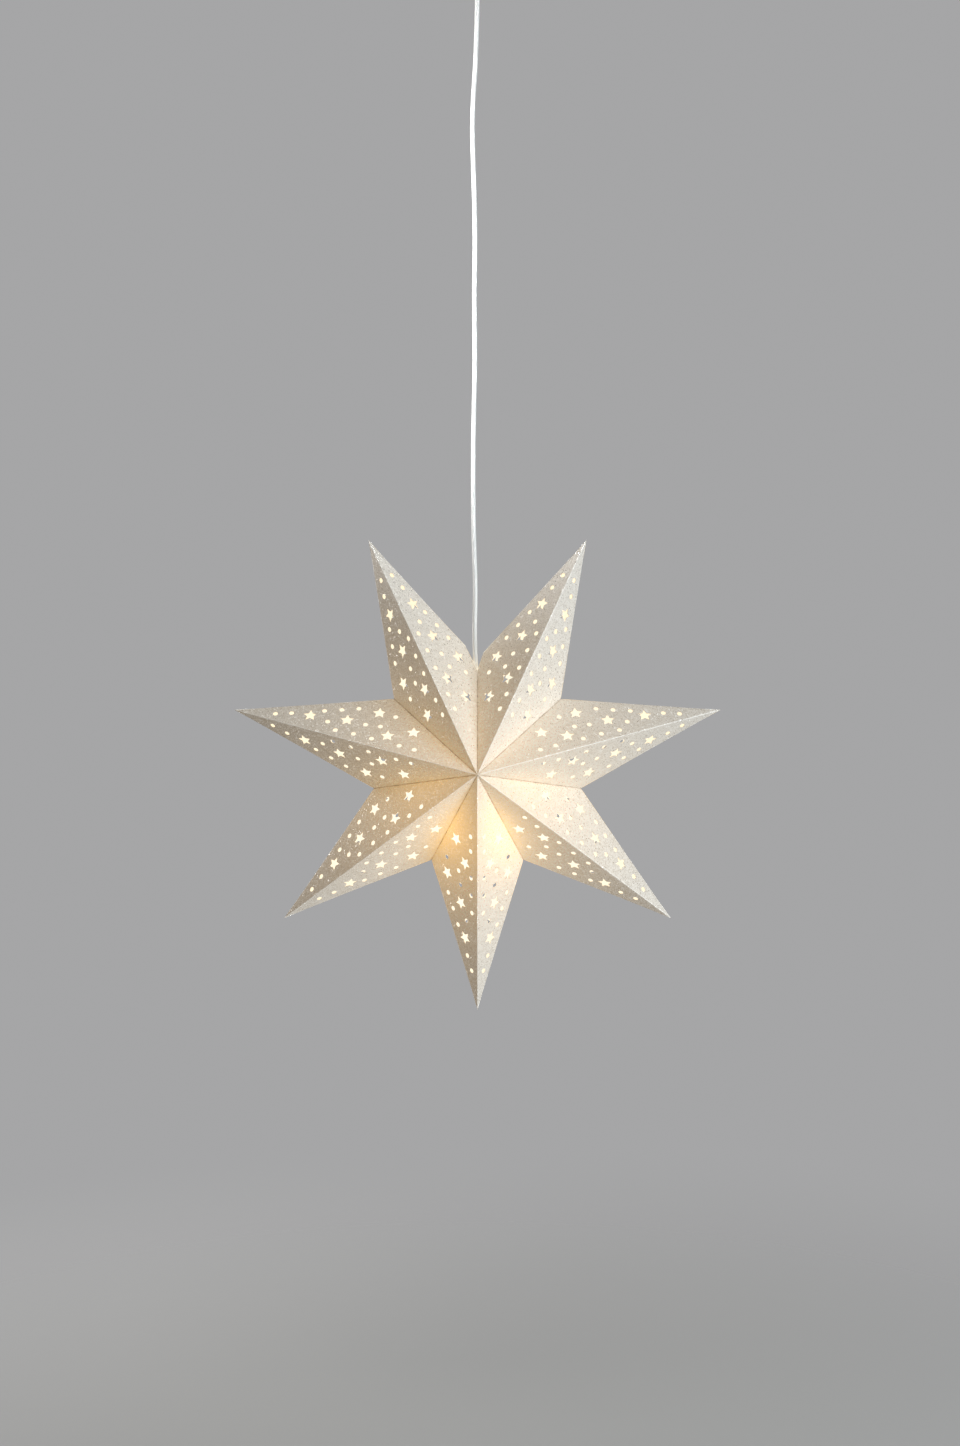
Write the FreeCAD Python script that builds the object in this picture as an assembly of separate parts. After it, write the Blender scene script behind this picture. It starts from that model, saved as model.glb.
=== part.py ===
"""Moravian star pendant: a seven-point folded paper star lit by a small bulb, on a white cord.

Millimetres, +Z up. The origin lies on the ceiling, at the middle of the ceiling plate, and -Y is the front.
The star hangs in the XZ plane with one point straight down. Every height below the ceiling fitting is given
from the star's centre, which lies STAR_DROP below the ceiling.
"""
import FreeCAD, Part

import math
import os

from FreeCAD import Matrix, Vector

# ---- paper star -------------------------------------------------------------------------------------------
STAR_DROP = 1020.0        # ceiling to the star's centre
POINT_COUNT = 7
TIP_RADIUS = 300.0        # centre to a tip
NOTCH_RADIUS = 128.0      # centre to a notch between two tips
HALF_DEPTH = 100.0        # centre to the front or back apex
PAPER = 0.4               # card thickness
FLAP_WIDTH = 10.0         # glue flaps inside each valley
DOT_DIAMETER = 6.0
CUT_STAR_RADIUS = 8.8     # punched five-point stars, centre to arm tip
CUT_STAR_WAIST = 4.2      # centre to the inner corners
CUT_STAR_ARMS = 5
# Punched holes on one face: along the ridge from the apex, and off the ridge towards the notch.
CUT_STARS = ((97.0, 37.0), (124.0, 22.0), (148.0, 53.0), (180.0, 29.5), (225.0, 22.0))
DOTS = ((85.0, 12.0), (104.5, 12.0), (140.0, 11.5), (163.5, 11.5), (186.5, 10.0),
        (201.0, 19.5), (248.0, 18.0), (266.0, 10.5), (138.0, 33.0), (156.0, 30.0),
        (212.0, 34.5), (193.0, 43.0), (174.5, 51.5), (127.0, 53.5))
BACK_SHIFT = -11.0        # the back faces carry the same holes, this much nearer to the apex
# The two points that meet at the top have their corners trimmed for the cord.
TRIM_DOWN = 14.0          # down the valley from the notch
TRIM_LEFT = 22.0          # along the outline of the left point
TRIM_RIGHT = 11.0         # along the outline of the right point
CORD_OPENING = 14.0       # diameter of the hole round the cord, through the flaps at the notch

# ---- closing joint and wire bail --------------------------------------------------------------------------
EYELET_BORE = 4.0
EYELET_BARREL = 5.0
EYELET_FLANGE = 8.0
EYELET_SHEET = 0.3        # thickness of an eyelet's flange
EYELET_FROM_NOTCH = 38.0  # along the valley
FASTENERS_FROM_NOTCH = (78.0, 122.0)
FASTENER_HEAD = 7.0
FASTENER_HEAD_HEIGHT = 0.9
FASTENER_ROUNDING = 0.72
FASTENER_SHANK = 2.0
FASTENER_LEG = (0.5, 3.0, 11.0)   # thickness, width, length
WIRE = 1.6                # spring wire of the bail
WELD = 2.3                # diameter of the weld beads between its ring and arms
HOOK_REACH = 3.0          # from the flaps' plane out to the arm
HOOK_TAIL = 5.0           # past the flaps' plane on the other side
HOOK_TIP = 4.0            # upturned end
HOOK_BEND = 1.7           # centreline radius
MOVING_GAP = 0.3          # between pieces that move past each other

# ---- lamp holder ------------------------------------------------------------------------------------------
HOLDER_MOUTH = -20.0      # height of the open end
HOLDER_RADIUS = 14.0
HOLDER_WALL = 1.6
HOLDER_LIP = 8.2          # radius of the mouth
HOLDER_LIP_HEIGHT = 1.8
SHELL_TOP = 16.0          # the shell screws on to the cap here
CAP_SPIGOT = 1.7          # depth of the cap's spigot in the shell
CAP_WALL = 1.4
CAP_SKIRT = 5.0           # straight part of the cap over the shell
CAP_DOME = (1.0, 5.5)     # the dome's arc passes this far inside the shell's radius and under the shoulder
CAP_DOME_INSIDE = (0.9, 4.0)
CAP_DOME_EDGE = 1.0       # the inner dome ends this far below the skirt's top
CAP_SHOULDER = 34.0       # flat that carries the bail's ring
CAP_SHOULDER_RADIUS = 9.2
CAP_CEILING = 30.0        # top of the wiring space
BOSS_RADIUS = 6.0
BOSS_TOP = 42.0
GRIP_SCREW = 2.8          # diameter of the screw that holds the cord
GRIP_HEIGHT = 39.0
GRIP_PROUD = 0.6          # of the boss
SCREW_SLOT = 0.5          # width of the small screws' slots
SCREW_SLOT_DEPTH = 0.8
INSERT_BOTTOM = 4.0
INSERT_TOP = 14.0
SEAT_DEPTH = 1.5          # groove in the insert for the screw shell
LEDGE = (1.4, 1.4)        # width and height of the ledge under the insert
SCREW_SHELL_BORE = 14.5
SCREW_SHELL_WALL = 0.4
SCREW_SHELL_BOTTOM = -16.0
CONTACT_WIDTH = 4.0
CONTACT_SHEET = 0.4
CONTACT_TIP_HEIGHT = 3.3
CONTACT_FOOT = (-5.2, -3.0)       # from and to, along X
CONTACT_TIP = (0.5, 2.5)
TERMINAL = (4.0, 5.0, 4.0)
TERMINAL_OFFSET = 7.0
TERMINAL_FLOOR = 1.0      # under the core's end
TERMINAL_SCREW = 2.4
TERMINAL_SCREW_PROUD = 0.8
TERMINAL_SLOT = 0.4       # width and depth
SLIDING_FIT = 0.05        # radial

# ---- bulb -------------------------------------------------------------------------------------------------
BULB_RADIUS = 22.5
BULB_CENTRE = -52.0
BULB_GLASS = 0.8
BULB_SHOULDER = 13.0      # radius where the ball runs into the neck
BULB_NECK = 6.9
BULB_NECK_BOTTOM = -22.5
BULB_FLARE = (1.7, 0.9)   # how far the arc from ball to neck bows out and down
BULB_CAP_BOTTOM = -21.5
BULB_CAP_TOP = 0.6
BULB_CAP_CREST = 6.95     # radii of the screw cap's thread
BULB_CAP_ROOT = 6.4
BULB_CAP_BORE = 6.0
BULB_CAP_TURNS = 5
BULB_CAP_PITCH = 2.82
BULB_CAP_RIM = 3.0        # plain rim under the thread
BULB_CAP_RUNOUT = 0.6     # over the thread
BULB_TIP_HEIGHT = 3.0
BULB_TIP_RADIUS = 2.3
INSULATOR_HEIGHT = 1.8
INSULATOR_MARGIN = 0.4    # round the contact
STEM_RADIUS = 2.0
STEM_FLARE = 5.0
STEM_TOP = -14.0
STEM_BOTTOM = -38.0
STEM_RIM = 1.0
FILAMENT_SPREAD = 9.0
FILAMENT_HEIGHT = -50.0
FILAMENT_WIRE = 0.5
LEAD_SPACING = 2.0        # between the two lead wires in the stem
LEAD_IN_STEM = 2.0
LEAD_BELOW_STEM = 1.0
FILAMENT_DIP = ((-0.35, 3.0), (0.35, 3.4))    # share of the spread, and drop, at the filament's two bends
FILAMENT_BOW = 1.5        # towards the front
FILAMENT_BEND = 1.0

# ---- ceiling fitting --------------------------------------------------------------------------------------
CANOPY_RADIUS = 45.0
CANOPY_HEIGHT = 60.0
CANOPY_WALL = 2.2
CANOPY_EDGE = 9.0         # outer radius of the rounded lower edge
CANOPY_HOLE = 12.0
CANOPY_TRAVEL = 50.0
LEAD_BELOW_CUP = 5.0      # the held stretch of cord reaches this far below the lowered cup
GROMMET_FLANGE = 17.0
GROMMET_FLANGE_HEIGHT = 1.8
GROMMET_CHAMFER = (1.2, 0.8)      # in and up
PLATE_RADIUS = 35.0
PLATE = 1.5
PLATE_SCREW_SPACING = 54.0
PLATE_SCREW_HOLE = 4.5
CABLE_HOLE = 10.0
CABLE_HOLE_X = -20.0
HOOK_WIRE = 3.0
HOOK_RADIUS = 6.0         # centreline of the hook's bowl
HOOK_SHANK = 7.0          # from the ceiling to the top of the bowl
HOOK_MOUTH = 35.0         # degrees of the bowl past level on the open side
HOOK_WASHER = 1.0         # thickness
HANGER_EYE = 9.0
HANGER_BAR = 3.0          # bar over the eye
HANGER_PLATE = 3.0
HANGER_OVERLAP = 1.0      # how far the plate runs into the block
HANGER_WIDTH = 14.0
HANGER_ROUNDING = 2.0
HANGER_BLOCK_TOP = -30.0
HANGER_BLOCK_BOTTOM = -46.0
HANGER_SLOT = (-38.0, -33.0)      # heights of the side window for the cores
HANGER_SLOT_WIDTH = 8.4
HANGER_SCREW = 3.0
HANGER_SCREW_HEAD = (5.7, 2.0)    # diameter and height
HANGER_SCREW_SLOT = (0.8, 1.0)    # width and depth
HANGER_SCREW_HEIGHT = -42.0
BLOCK_X = (13.0, 31.0)
BLOCK_HALF_WIDTH = 9.0
BLOCK_HEIGHT = 14.0
TUBE_SPACING = 9.0
TUBE_OUTER = 4.8
TUBE_BORE = 2.6
TUBE_SCREW = 2.6
TUBE_SCREW_INSET = 4.5
TUBE_SCREW_DEPTH = 1.5    # the screws' ends lie this far inside the block
CORE_IN_TUBE = 3.5
CORE_LOOP_X = 10.0        # the cores rise here, beside the hanger
CORE_TO_SLOT = 0.9        # how near the cores run to the slot's sides, from 0 to 1

# ---- cord -------------------------------------------------------------------------------------------------
CORD_DIAMETER = 5.4
CORE_DIAMETER = 2.0
CORE_SPACING = 2.6
CORE_DROP = (2.5, 5.5)    # below the sheath's end in the holder: the cores spread between these two
CORD_TAIL_BOTTOM = 27.0   # the sheath is stripped above this height in the holder
SWING_GAP = 0.6           # between the held stretch and the free stretch
LEAD_BOTTOM = -(CANOPY_HEIGHT + CANOPY_TRAVEL + LEAD_BELOW_CUP)
# The free stretch, from the ceiling fitting down to the holder: x, y and the height over the star's centre.
CORD_TOP = STAR_DROP + LEAD_BOTTOM - SWING_GAP
CORD_ROUTE = ((0.0, 0.0, CORD_TOP), (-1.0, 0.4, 838.0), (-6.6, 1.2, 765.0), (-4.2, 1.6, 694.0),
              (-2.4, 1.0, 622.0), (-3.9, 0.2, 552.0), (-2.6, -0.6, 482.0), (-4.6, -1.0, 410.0),
              (-5.2, -0.6, 336.0), (-4.4, 0.4, 268.0), (-2.2, 0.8, 212.0), (-3.8, 0.6, 158.0),
              (-1.4, 0.2, 104.0), (0.0, 0.0, 72.0), (0.0, 0.0, BOSS_TOP))
ARC_SHARE = 0.45          # of the shorter run, taken up by the arc at a corner

UP = Vector(0, 0, 1)
FRONT_TO_BACK = Vector(0, 1, 0)
RIGHT = Vector(1, 0, 0)


# ---- helpers ----------------------------------------------------------------------------------------------
def save(node, *solids):
    """Write one sub-part, as one solid or as a group of like solids."""
    shape = solids[0] if len(solids) == 1 else Part.makeCompound(list(solids))
    shape.exportStep(os.path.join("parts", node + ".step"))


def from_star(shape):
    """Move a shape built about the star's centre down to its place."""
    moved = shape.copy()
    moved.translate(Vector(0, 0, -STAR_DROP))
    return moved


def lathe(profile):
    """Turn a profile of (radius, height) points about Z. A pair of points is an arc's middle and end."""
    def place(point):
        return Vector(point[0], 0, point[1])

    edges = []
    start = place(profile[0])
    for step in list(profile[1:]) + [profile[0]]:
        if isinstance(step[0], tuple):
            end = place(step[1])
            edges.append(Part.Arc(start, place(step[0]), end).toShape())
        else:
            end = place(step)
            edges.append(Part.LineSegment(start, end).toShape())
        start = end
    return Part.Face(Part.Wire(edges)).revolve(Vector(0, 0, 0), UP, 360)


def box(low, high):
    """A box between two corners."""
    low, high = Vector(*low), Vector(*high)
    size = high - low
    return Part.makeBox(size.x, size.y, size.z, low)


def rod(start, end, diameter):
    """A round bar from one point to another."""
    start, end = Vector(*start), Vector(*end)
    return Part.makeCylinder(diameter / 2, (end - start).Length, start, end - start)


def prism(outline, direction):
    """Extrude a closed outline of points."""
    return Part.Face(Part.makePolygon(list(outline) + [outline[0]])).extrude(direction)


def path_through(points, radius=None, report=None):
    """Straight runs joined by tangent arcs. With no radius, each arc is as large as its two runs allow.
    A path with a report prints its length and its arcs' radii under that name."""
    points = [Vector(*point) for point in points]
    edges = []
    radii = []
    at = points[0]
    for before, corner, after in zip(points, points[1:], points[2:]):
        back = (before - corner).normalize()
        on = (after - corner).normalize()
        turn = math.pi - back.getAngle(on)
        reach = ARC_SHARE * min((corner - before).Length, (after - corner).Length)
        if radius is not None:
            reach = min(reach, radius * math.tan(turn / 2))
        bend = reach / math.tan(turn / 2)
        radii.append(bend)
        start, end = corner + back * reach, corner + on * reach
        inward = (back + on).normalize()
        centre = corner + inward * (bend / math.cos(turn / 2))
        middle = centre - inward * bend
        edges.append(Part.LineSegment(at, start).toShape())
        edges.append(Part.Arc(start, middle, end).toShape())
        at = end
    edges.append(Part.LineSegment(at, points[-1]).toShape())
    wire = Part.Wire(edges)
    if report:
        print(report, "length", round(wire.Length, 1), "radii", [round(bend) for bend in radii])
    return wire


def tube(wire, diameter, report=None):
    """A solid round tube along a path."""
    start = wire.Edges[0]
    first = start.firstVertex().Point
    along = start.tangentAt(start.FirstParameter)
    ring = Part.Wire(Part.makeCircle(diameter / 2, first, along))
    solid = wire.makePipeShell([ring], True, False)
    if report:
        wanted = math.pi * diameter ** 2 / 4 * wire.Length
        print(report, "volume over section times length", round(solid.Volume / wanted, 4))
    return solid


# ---- paper star -------------------------------------------------------------------------------------------
def on_star(radius, angle, y=0.0):
    """A point of the star in the XZ plane, with the angle from the downward direction."""
    return Vector(radius * math.sin(angle), y, -radius * math.cos(angle))


HALF_SECTOR = math.pi / POINT_COUNT
FRONT = Vector(0, -HALF_DEPTH, 0)
BACK = Vector(0, HALF_DEPTH, 0)
TIP = on_star(TIP_RADIUS, 0)
NOTCH_SIDES = (on_star(NOTCH_RADIUS, -HALF_SECTOR), on_star(NOTCH_RADIUS, HALF_SECTOR))
TOP_NOTCH = Vector(0, 0, NOTCH_RADIUS)
VALLEY = (FRONT - TOP_NOTCH).normalize()           # down the front valley at the top
FLAP_INWARD = Vector(0, -VALLEY.z, VALLEY.y)       # across the flap, into the star


class Plane:
    """A plane through three points, with its normal pointing away from a point inside."""

    def __init__(self, a, b, c, inside):
        self.normal = (b - a).cross(c - a).normalize()
        if self.normal.dot(inside - a) > 0:
            self.normal = self.normal * -1
        self.offset = self.normal.dot(a)

    def inset(self, depth):
        """The same plane, moved inwards."""
        plane = Plane.__new__(Plane)
        plane.normal, plane.offset = self.normal, self.offset - depth
        return plane


def meet(p, q, r):
    """The point that three planes share."""
    top = (q.normal.cross(r.normal) * p.offset + r.normal.cross(p.normal) * q.offset
           + p.normal.cross(q.normal) * r.offset)
    return top * (1 / p.normal.dot(q.normal.cross(r.normal)))


def wedge(depth):
    """One star point as a closed body, inset by a depth from each of its six planes."""
    left, right = NOTCH_SIDES
    inside = (FRONT + BACK + TIP + left + right) * 0.2
    front_left, front_right, back_left, back_right, side_left, side_right = (
        Plane(*corners, inside).inset(depth) for corners in
        ((FRONT, TIP, left), (FRONT, TIP, right), (BACK, TIP, left), (BACK, TIP, right),
         (FRONT, BACK, left), (FRONT, BACK, right)))
    front = meet(front_left, front_right, side_left)
    back = meet(back_left, back_right, side_left)
    tip = meet(front_left, front_right, back_left)
    notches = meet(front_left, back_left, side_left), meet(front_right, back_right, side_right)
    faces = [Part.Face(Part.makePolygon([apex, tip, notch, apex]))
             for apex in (front, back) for notch in notches]
    faces += [Part.Face(Part.makePolygon([front, back, notch, front])) for notch in notches]
    return Part.makeSolid(Part.makeShell(faces))


def flap_windows():
    """What is cut from both sides of a star point, so that only the glue flaps are left of them."""
    shrink = FLAP_WIDTH / (HALF_DEPTH * NOTCH_RADIUS / math.hypot(HALF_DEPTH, NOTCH_RADIUS))
    windows = []
    for notch in NOTCH_SIDES:
        apex_y = HALF_DEPTH * (1 - shrink)
        outer = notch * (1 - shrink)
        across = Vector(-notch.z, 0, notch.x).normalize() * (2 * PAPER)
        behind = notch * (-2 * PAPER / NOTCH_RADIUS)
        corners = [Vector(0, -apex_y, 0), outer, Vector(0, apex_y, 0),
                   Vector(0, apex_y, 0) + behind, Vector(0, -apex_y, 0) + behind]
        windows.append(prism([corner - across for corner in corners], across * 2))
    return windows


def cut_star_outline(centre, along, off):
    """A punched star with one arm along the ridge."""
    corners = []
    for index in range(2 * CUT_STAR_ARMS):
        radius = CUT_STAR_WAIST if index % 2 else CUT_STAR_RADIUS
        angle = math.pi * index / CUT_STAR_ARMS
        corners.append(centre + along * (radius * math.cos(angle)) + off * (radius * math.sin(angle)))
    return corners


def punches(apex, notch):
    """The tools that punch one face: its dots and its five-point stars."""
    along = (TIP - apex).normalize()
    off = notch - apex
    off = (off - along * off.dot(along)).normalize()
    normal = along.cross(off).normalize()
    depth = 8 * PAPER       # well through the card
    start = apex - normal * (depth / 2)
    if apex.y > 0:
        start += along * BACK_SHIFT
    tools = []
    for x, y in DOTS:
        centre = start + along * x + off * y
        tools.append(Part.makeCylinder(DOT_DIAMETER / 2, depth, centre, normal))
    for x, y in CUT_STARS:
        centre = start + along * x + off * y
        tools.append(prism(cut_star_outline(centre, along, off), normal * depth))
    return tools


def plain_point():
    """The star point that hangs straight down: a hollow folded sheet, punched, with its glue flaps."""
    sheet = wedge(0).cut(wedge(PAPER)).cut(flap_windows())
    tools = [tool for apex in (FRONT, BACK) for notch in NOTCH_SIDES for tool in punches(apex, notch)]
    return sheet.cut(tools)


def turned_point(sheet, index):
    """A copy of the sheet, turned about the star's axis."""
    turn = Matrix()
    turn.rotateY(-2 * math.pi * index / POINT_COUNT)
    return sheet.transformed(turn)


def on_flap(from_notch, side):
    """The middle of the top flaps: a distance down the valley, on the front (-1) or the back (1)."""
    place = TOP_NOTCH + VALLEY * from_notch + FLAP_INWARD * (FLAP_WIDTH / 2)
    return Vector(0, -side * place.y, place.z)


def trim_tool(side, along_outline):
    """What the cord opening takes off the point on one side (-1 left, 1 right) of the top notch."""
    low = Vector(0, 0, NOTCH_RADIUS - TRIM_DOWN)
    tip = on_star(TIP_RADIUS, math.pi - side * HALF_SECTOR)
    high = TOP_NOTCH + (tip - TOP_NOTCH).normalize() * along_outline
    beyond = high * 2 - low
    outside = Vector(-side * TRIM_DOWN, 0, 0)
    half = FRONT_TO_BACK * (2 * TRIM_DOWN)
    outline = [low, beyond, Vector(0, 0, beyond.z) + outside, low + outside]
    return prism([corner - half for corner in outline], half * 2)


def paper_star():
    """The seven folded sheets. The two beside the top notch are trimmed, and pierced for what joins them."""
    sheet = plain_point()
    low = TOP_NOTCH - UP * (2 * TRIM_DOWN)
    pierced = [Part.makeCylinder(CORD_OPENING / 2, 3 * TRIM_DOWN, low, UP)]
    for side in (-1, 1):
        across = RIGHT * (4 * PAPER)
        pierced.append(Part.makeCylinder(EYELET_BARREL / 2 + SLIDING_FIT, 8 * PAPER,
                                         on_flap(EYELET_FROM_NOTCH, side) - across, RIGHT))
        for distance in FASTENERS_FROM_NOTCH:
            pierced.append(Part.makeCylinder(FASTENER_SHANK / 2 + SLIDING_FIT, 8 * PAPER,
                                             on_flap(distance, side) - across, RIGHT))
    last_right = POINT_COUNT // 2
    for index in range(POINT_COUNT):
        point = turned_point(sheet, index)
        if index == last_right:
            point = point.cut(pierced + [trim_tool(1, TRIM_RIGHT)])
        elif index == last_right + 1:
            point = point.cut(pierced + [trim_tool(-1, TRIM_LEFT)])
        save("star_point_%d" % (index + 1), *from_star(point).Solids)


# ---- closing joint and bail -------------------------------------------------------------------------------
def eyelet(side):
    """A brass eyelet through both top flaps."""
    middle = on_flap(EYELET_FROM_NOTCH, side)
    half = PAPER + EYELET_SHEET
    body = Part.makeCylinder(EYELET_BARREL / 2, 2 * half, middle - RIGHT * half, RIGHT)
    for start in (-half, PAPER):
        body = body.fuse(Part.makeCylinder(EYELET_FLANGE / 2, EYELET_SHEET, middle + RIGHT * start, RIGHT))
    return body.cut(Part.makeCylinder(EYELET_BORE / 2, 4 * half, middle - RIGHT * (2 * half), RIGHT))


def fastener(from_notch, side):
    """A split paper fastener: a round head on the right, and two legs spread flat on the left."""
    middle = on_flap(from_notch, side)
    head = Part.makeCylinder(FASTENER_HEAD / 2, FASTENER_HEAD_HEIGHT, middle + RIGHT * PAPER, RIGHT)
    head = head.makeFillet(FASTENER_ROUNDING, [max(head.Edges, key=lambda edge: edge.CenterOfMass.x)])
    shank = Part.makeCylinder(FASTENER_SHANK / 2, 2 * PAPER, middle - RIGHT * PAPER, RIGHT)
    thick, width, length = FASTENER_LEG
    along = Vector(0, -side * VALLEY.y, VALLEY.z)
    across = Vector(0, along.z, -along.y)
    corner = middle - RIGHT * PAPER - along * length - across * (width / 2)
    legs = prism([corner, corner + along * (2 * length), corner + along * (2 * length) + across * width,
                  corner + across * width], RIGHT * -thick)
    return head.fuse([shank, legs]).removeSplitter()


def wire_bail():
    """A wire ring on the holder's shoulder, with an arm up to a hook in each eyelet."""
    inside = BOSS_RADIUS + MOVING_GAP
    lift = EYELET_BORE / 2 - WIRE / 2 - MOVING_GAP
    body = Part.makeTorus(inside + WIRE / 2, WIRE / 2, Vector(0, 0, CAP_SHOULDER + WIRE / 2), UP)
    for side in (-1, 1):
        eye = on_flap(EYELET_FROM_NOTCH, side)
        level = eye.z + lift
        foot = Vector(0, side * (inside + WELD / 2), CAP_SHOULDER + WELD / 2)
        route = [foot, (HOOK_REACH, eye.y, level), (-HOOK_TAIL, eye.y, level),
                 (-HOOK_TAIL, eye.y, level + HOOK_TIP)]
        body = body.fuse(Part.makeSphere(WELD / 2, foot))
        body = body.fuse(tube(path_through(route, HOOK_BEND), WIRE))
    return body


# ---- lamp holder ------------------------------------------------------------------------------------------
def socket_shell():
    """The lower tube of the holder, with a lip at its mouth and a ledge that carries the insert."""
    inner = HOLDER_RADIUS - HOLDER_WALL
    lip_top = HOLDER_MOUTH + HOLDER_LIP_HEIGHT
    ledge_width, ledge_height = LEDGE
    return lathe([(HOLDER_LIP, HOLDER_MOUTH), (HOLDER_RADIUS, HOLDER_MOUTH), (HOLDER_RADIUS, SHELL_TOP),
                  (inner, SHELL_TOP), (inner, INSERT_BOTTOM), (inner - ledge_width, INSERT_BOTTOM),
                  (inner - ledge_width, INSERT_BOTTOM - ledge_height),
                  (inner, INSERT_BOTTOM - ledge_height - ledge_width), (inner, lip_top),
                  (HOLDER_LIP, lip_top)])


def socket_cap():
    """The domed cap: a spigot in the shell, a shoulder for the bail, and a boss that grips the cord."""
    bore = CORD_DIAMETER / 2 + SLIDING_FIT
    spigot = HOLDER_RADIUS - HOLDER_WALL - SLIDING_FIT
    space = spigot - CAP_WALL
    skirt = SHELL_TOP + CAP_SKIRT
    bow, drop = CAP_DOME
    bow_inside, drop_inside = CAP_DOME_INSIDE
    outer_arc = ((HOLDER_RADIUS - bow, CAP_SHOULDER - drop), (CAP_SHOULDER_RADIUS, CAP_SHOULDER))
    inner_arc = ((space - bow_inside, CAP_CEILING - drop_inside), (space, skirt - CAP_DOME_EDGE))
    cap = lathe([(bore, BOSS_TOP), (bore, CAP_CEILING),
                 (CAP_SHOULDER_RADIUS - CAP_WALL, CAP_CEILING), inner_arc,
                 (space, SHELL_TOP - CAP_SPIGOT), (spigot, SHELL_TOP - CAP_SPIGOT), (spigot, SHELL_TOP),
                 (HOLDER_RADIUS, SHELL_TOP), (HOLDER_RADIUS, skirt), outer_arc,
                 (BOSS_RADIUS, CAP_SHOULDER), (BOSS_RADIUS, BOSS_TOP)])
    return cap.cut(rod((0, 0, GRIP_HEIGHT), (2 * BOSS_RADIUS, 0, GRIP_HEIGHT), GRIP_SCREW + 2 * SLIDING_FIT))


def cord_grip_screw():
    """The headless screw in the cap's boss that holds the cord."""
    tip = CORD_DIAMETER / 2 + SLIDING_FIT
    end = BOSS_RADIUS + GRIP_PROUD
    screw = rod((tip, 0, GRIP_HEIGHT), (end, 0, GRIP_HEIGHT), GRIP_SCREW)
    slot = box((end - SCREW_SLOT_DEPTH, -GRIP_SCREW, GRIP_HEIGHT - SCREW_SLOT / 2),
               (end + SCREW_SLOT_DEPTH, GRIP_SCREW, GRIP_HEIGHT + SCREW_SLOT / 2))
    return screw.cut(slot)


def socket_insert():
    """The ceramic block that carries the contacts, with a groove that the screw shell sits in."""
    radius = HOLDER_RADIUS - HOLDER_WALL - SLIDING_FIT
    inner = SCREW_SHELL_BORE / 2 - SLIDING_FIT
    outer = SCREW_SHELL_BORE / 2 + SCREW_SHELL_WALL + SLIDING_FIT
    block = lathe([(0, INSERT_BOTTOM), (radius, INSERT_BOTTOM), (radius, INSERT_TOP), (0, INSERT_TOP)])
    seat = lathe([(inner, INSERT_BOTTOM - SEAT_DEPTH), (outer, INSERT_BOTTOM - SEAT_DEPTH),
                  (outer, INSERT_BOTTOM + SEAT_DEPTH), (inner, INSERT_BOTTOM + SEAT_DEPTH)])
    return block.cut(seat)


def screw_shell():
    """The threaded contact that the bulb screws into."""
    inner = SCREW_SHELL_BORE / 2
    outer = inner + SCREW_SHELL_WALL
    top = INSERT_BOTTOM + SEAT_DEPTH
    return lathe([(inner, SCREW_SHELL_BOTTOM), (outer, SCREW_SHELL_BOTTOM), (outer, top), (inner, top)])


def centre_contact():
    """A sprung brass tongue under the insert."""
    top, low = INSERT_BOTTOM, CONTACT_TIP_HEIGHT
    foot, knee = CONTACT_FOOT
    rise, end = CONTACT_TIP
    outline = [(foot, top - CONTACT_SHEET), (knee, top - CONTACT_SHEET), (rise, low), (end, low),
               (end, low + CONTACT_SHEET), (rise, low + CONTACT_SHEET), (knee, top), (foot, top)]
    return prism([Vector(x, -CONTACT_WIDTH / 2, z) for x, z in outline], FRONT_TO_BACK * CONTACT_WIDTH)


def socket_terminals():
    """Two brass terminals on the insert, and their screws."""
    terminals, screws = [], []
    wide, deep, tall = TERMINAL
    for side in (-1, 1):
        x = side * TERMINAL_OFFSET
        post = box((x - wide / 2, -deep / 2, INSERT_TOP), (x + wide / 2, deep / 2, INSERT_TOP + tall))
        well = rod((x, 0, INSERT_TOP + TERMINAL_FLOOR), (x, 0, INSERT_TOP + 2 * tall),
                   CORE_DIAMETER + 2 * SLIDING_FIT)
        middle = INSERT_TOP + tall / 2
        thread = rod((x, -deep, middle), (x, 0, middle), TERMINAL_SCREW + 2 * SLIDING_FIT)
        terminals.append(post.cut([well, thread]))
        tip = -CORE_DIAMETER / 2 - SLIDING_FIT
        end = -deep / 2 - TERMINAL_SCREW_PROUD
        shank = rod((x, end, middle), (x, tip, middle), TERMINAL_SCREW)
        slot = box((x - TERMINAL_SCREW, end - TERMINAL_SLOT, middle - TERMINAL_SLOT / 2),
                   (x + TERMINAL_SCREW, end + TERMINAL_SLOT, middle + TERMINAL_SLOT / 2))
        screws.append(shank.cut(slot))
    return terminals, screws


def holder_cores():
    """The two insulated cores from the stripped sheath to the terminals."""
    spread_from, spread_to = CORE_DROP
    cores = []
    for side in (-1, 1):
        x = side * TERMINAL_OFFSET
        start = side * CORE_SPACING / 2
        route = [(start, 0, CORD_TAIL_BOTTOM), (start, 0, CORD_TAIL_BOTTOM - spread_from),
                 (x, 0, CORD_TAIL_BOTTOM - spread_to), (x, 0, INSERT_TOP + TERMINAL_FLOOR)]
        cores.append(tube(path_through(route), CORE_DIAMETER))
    return cores


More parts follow.
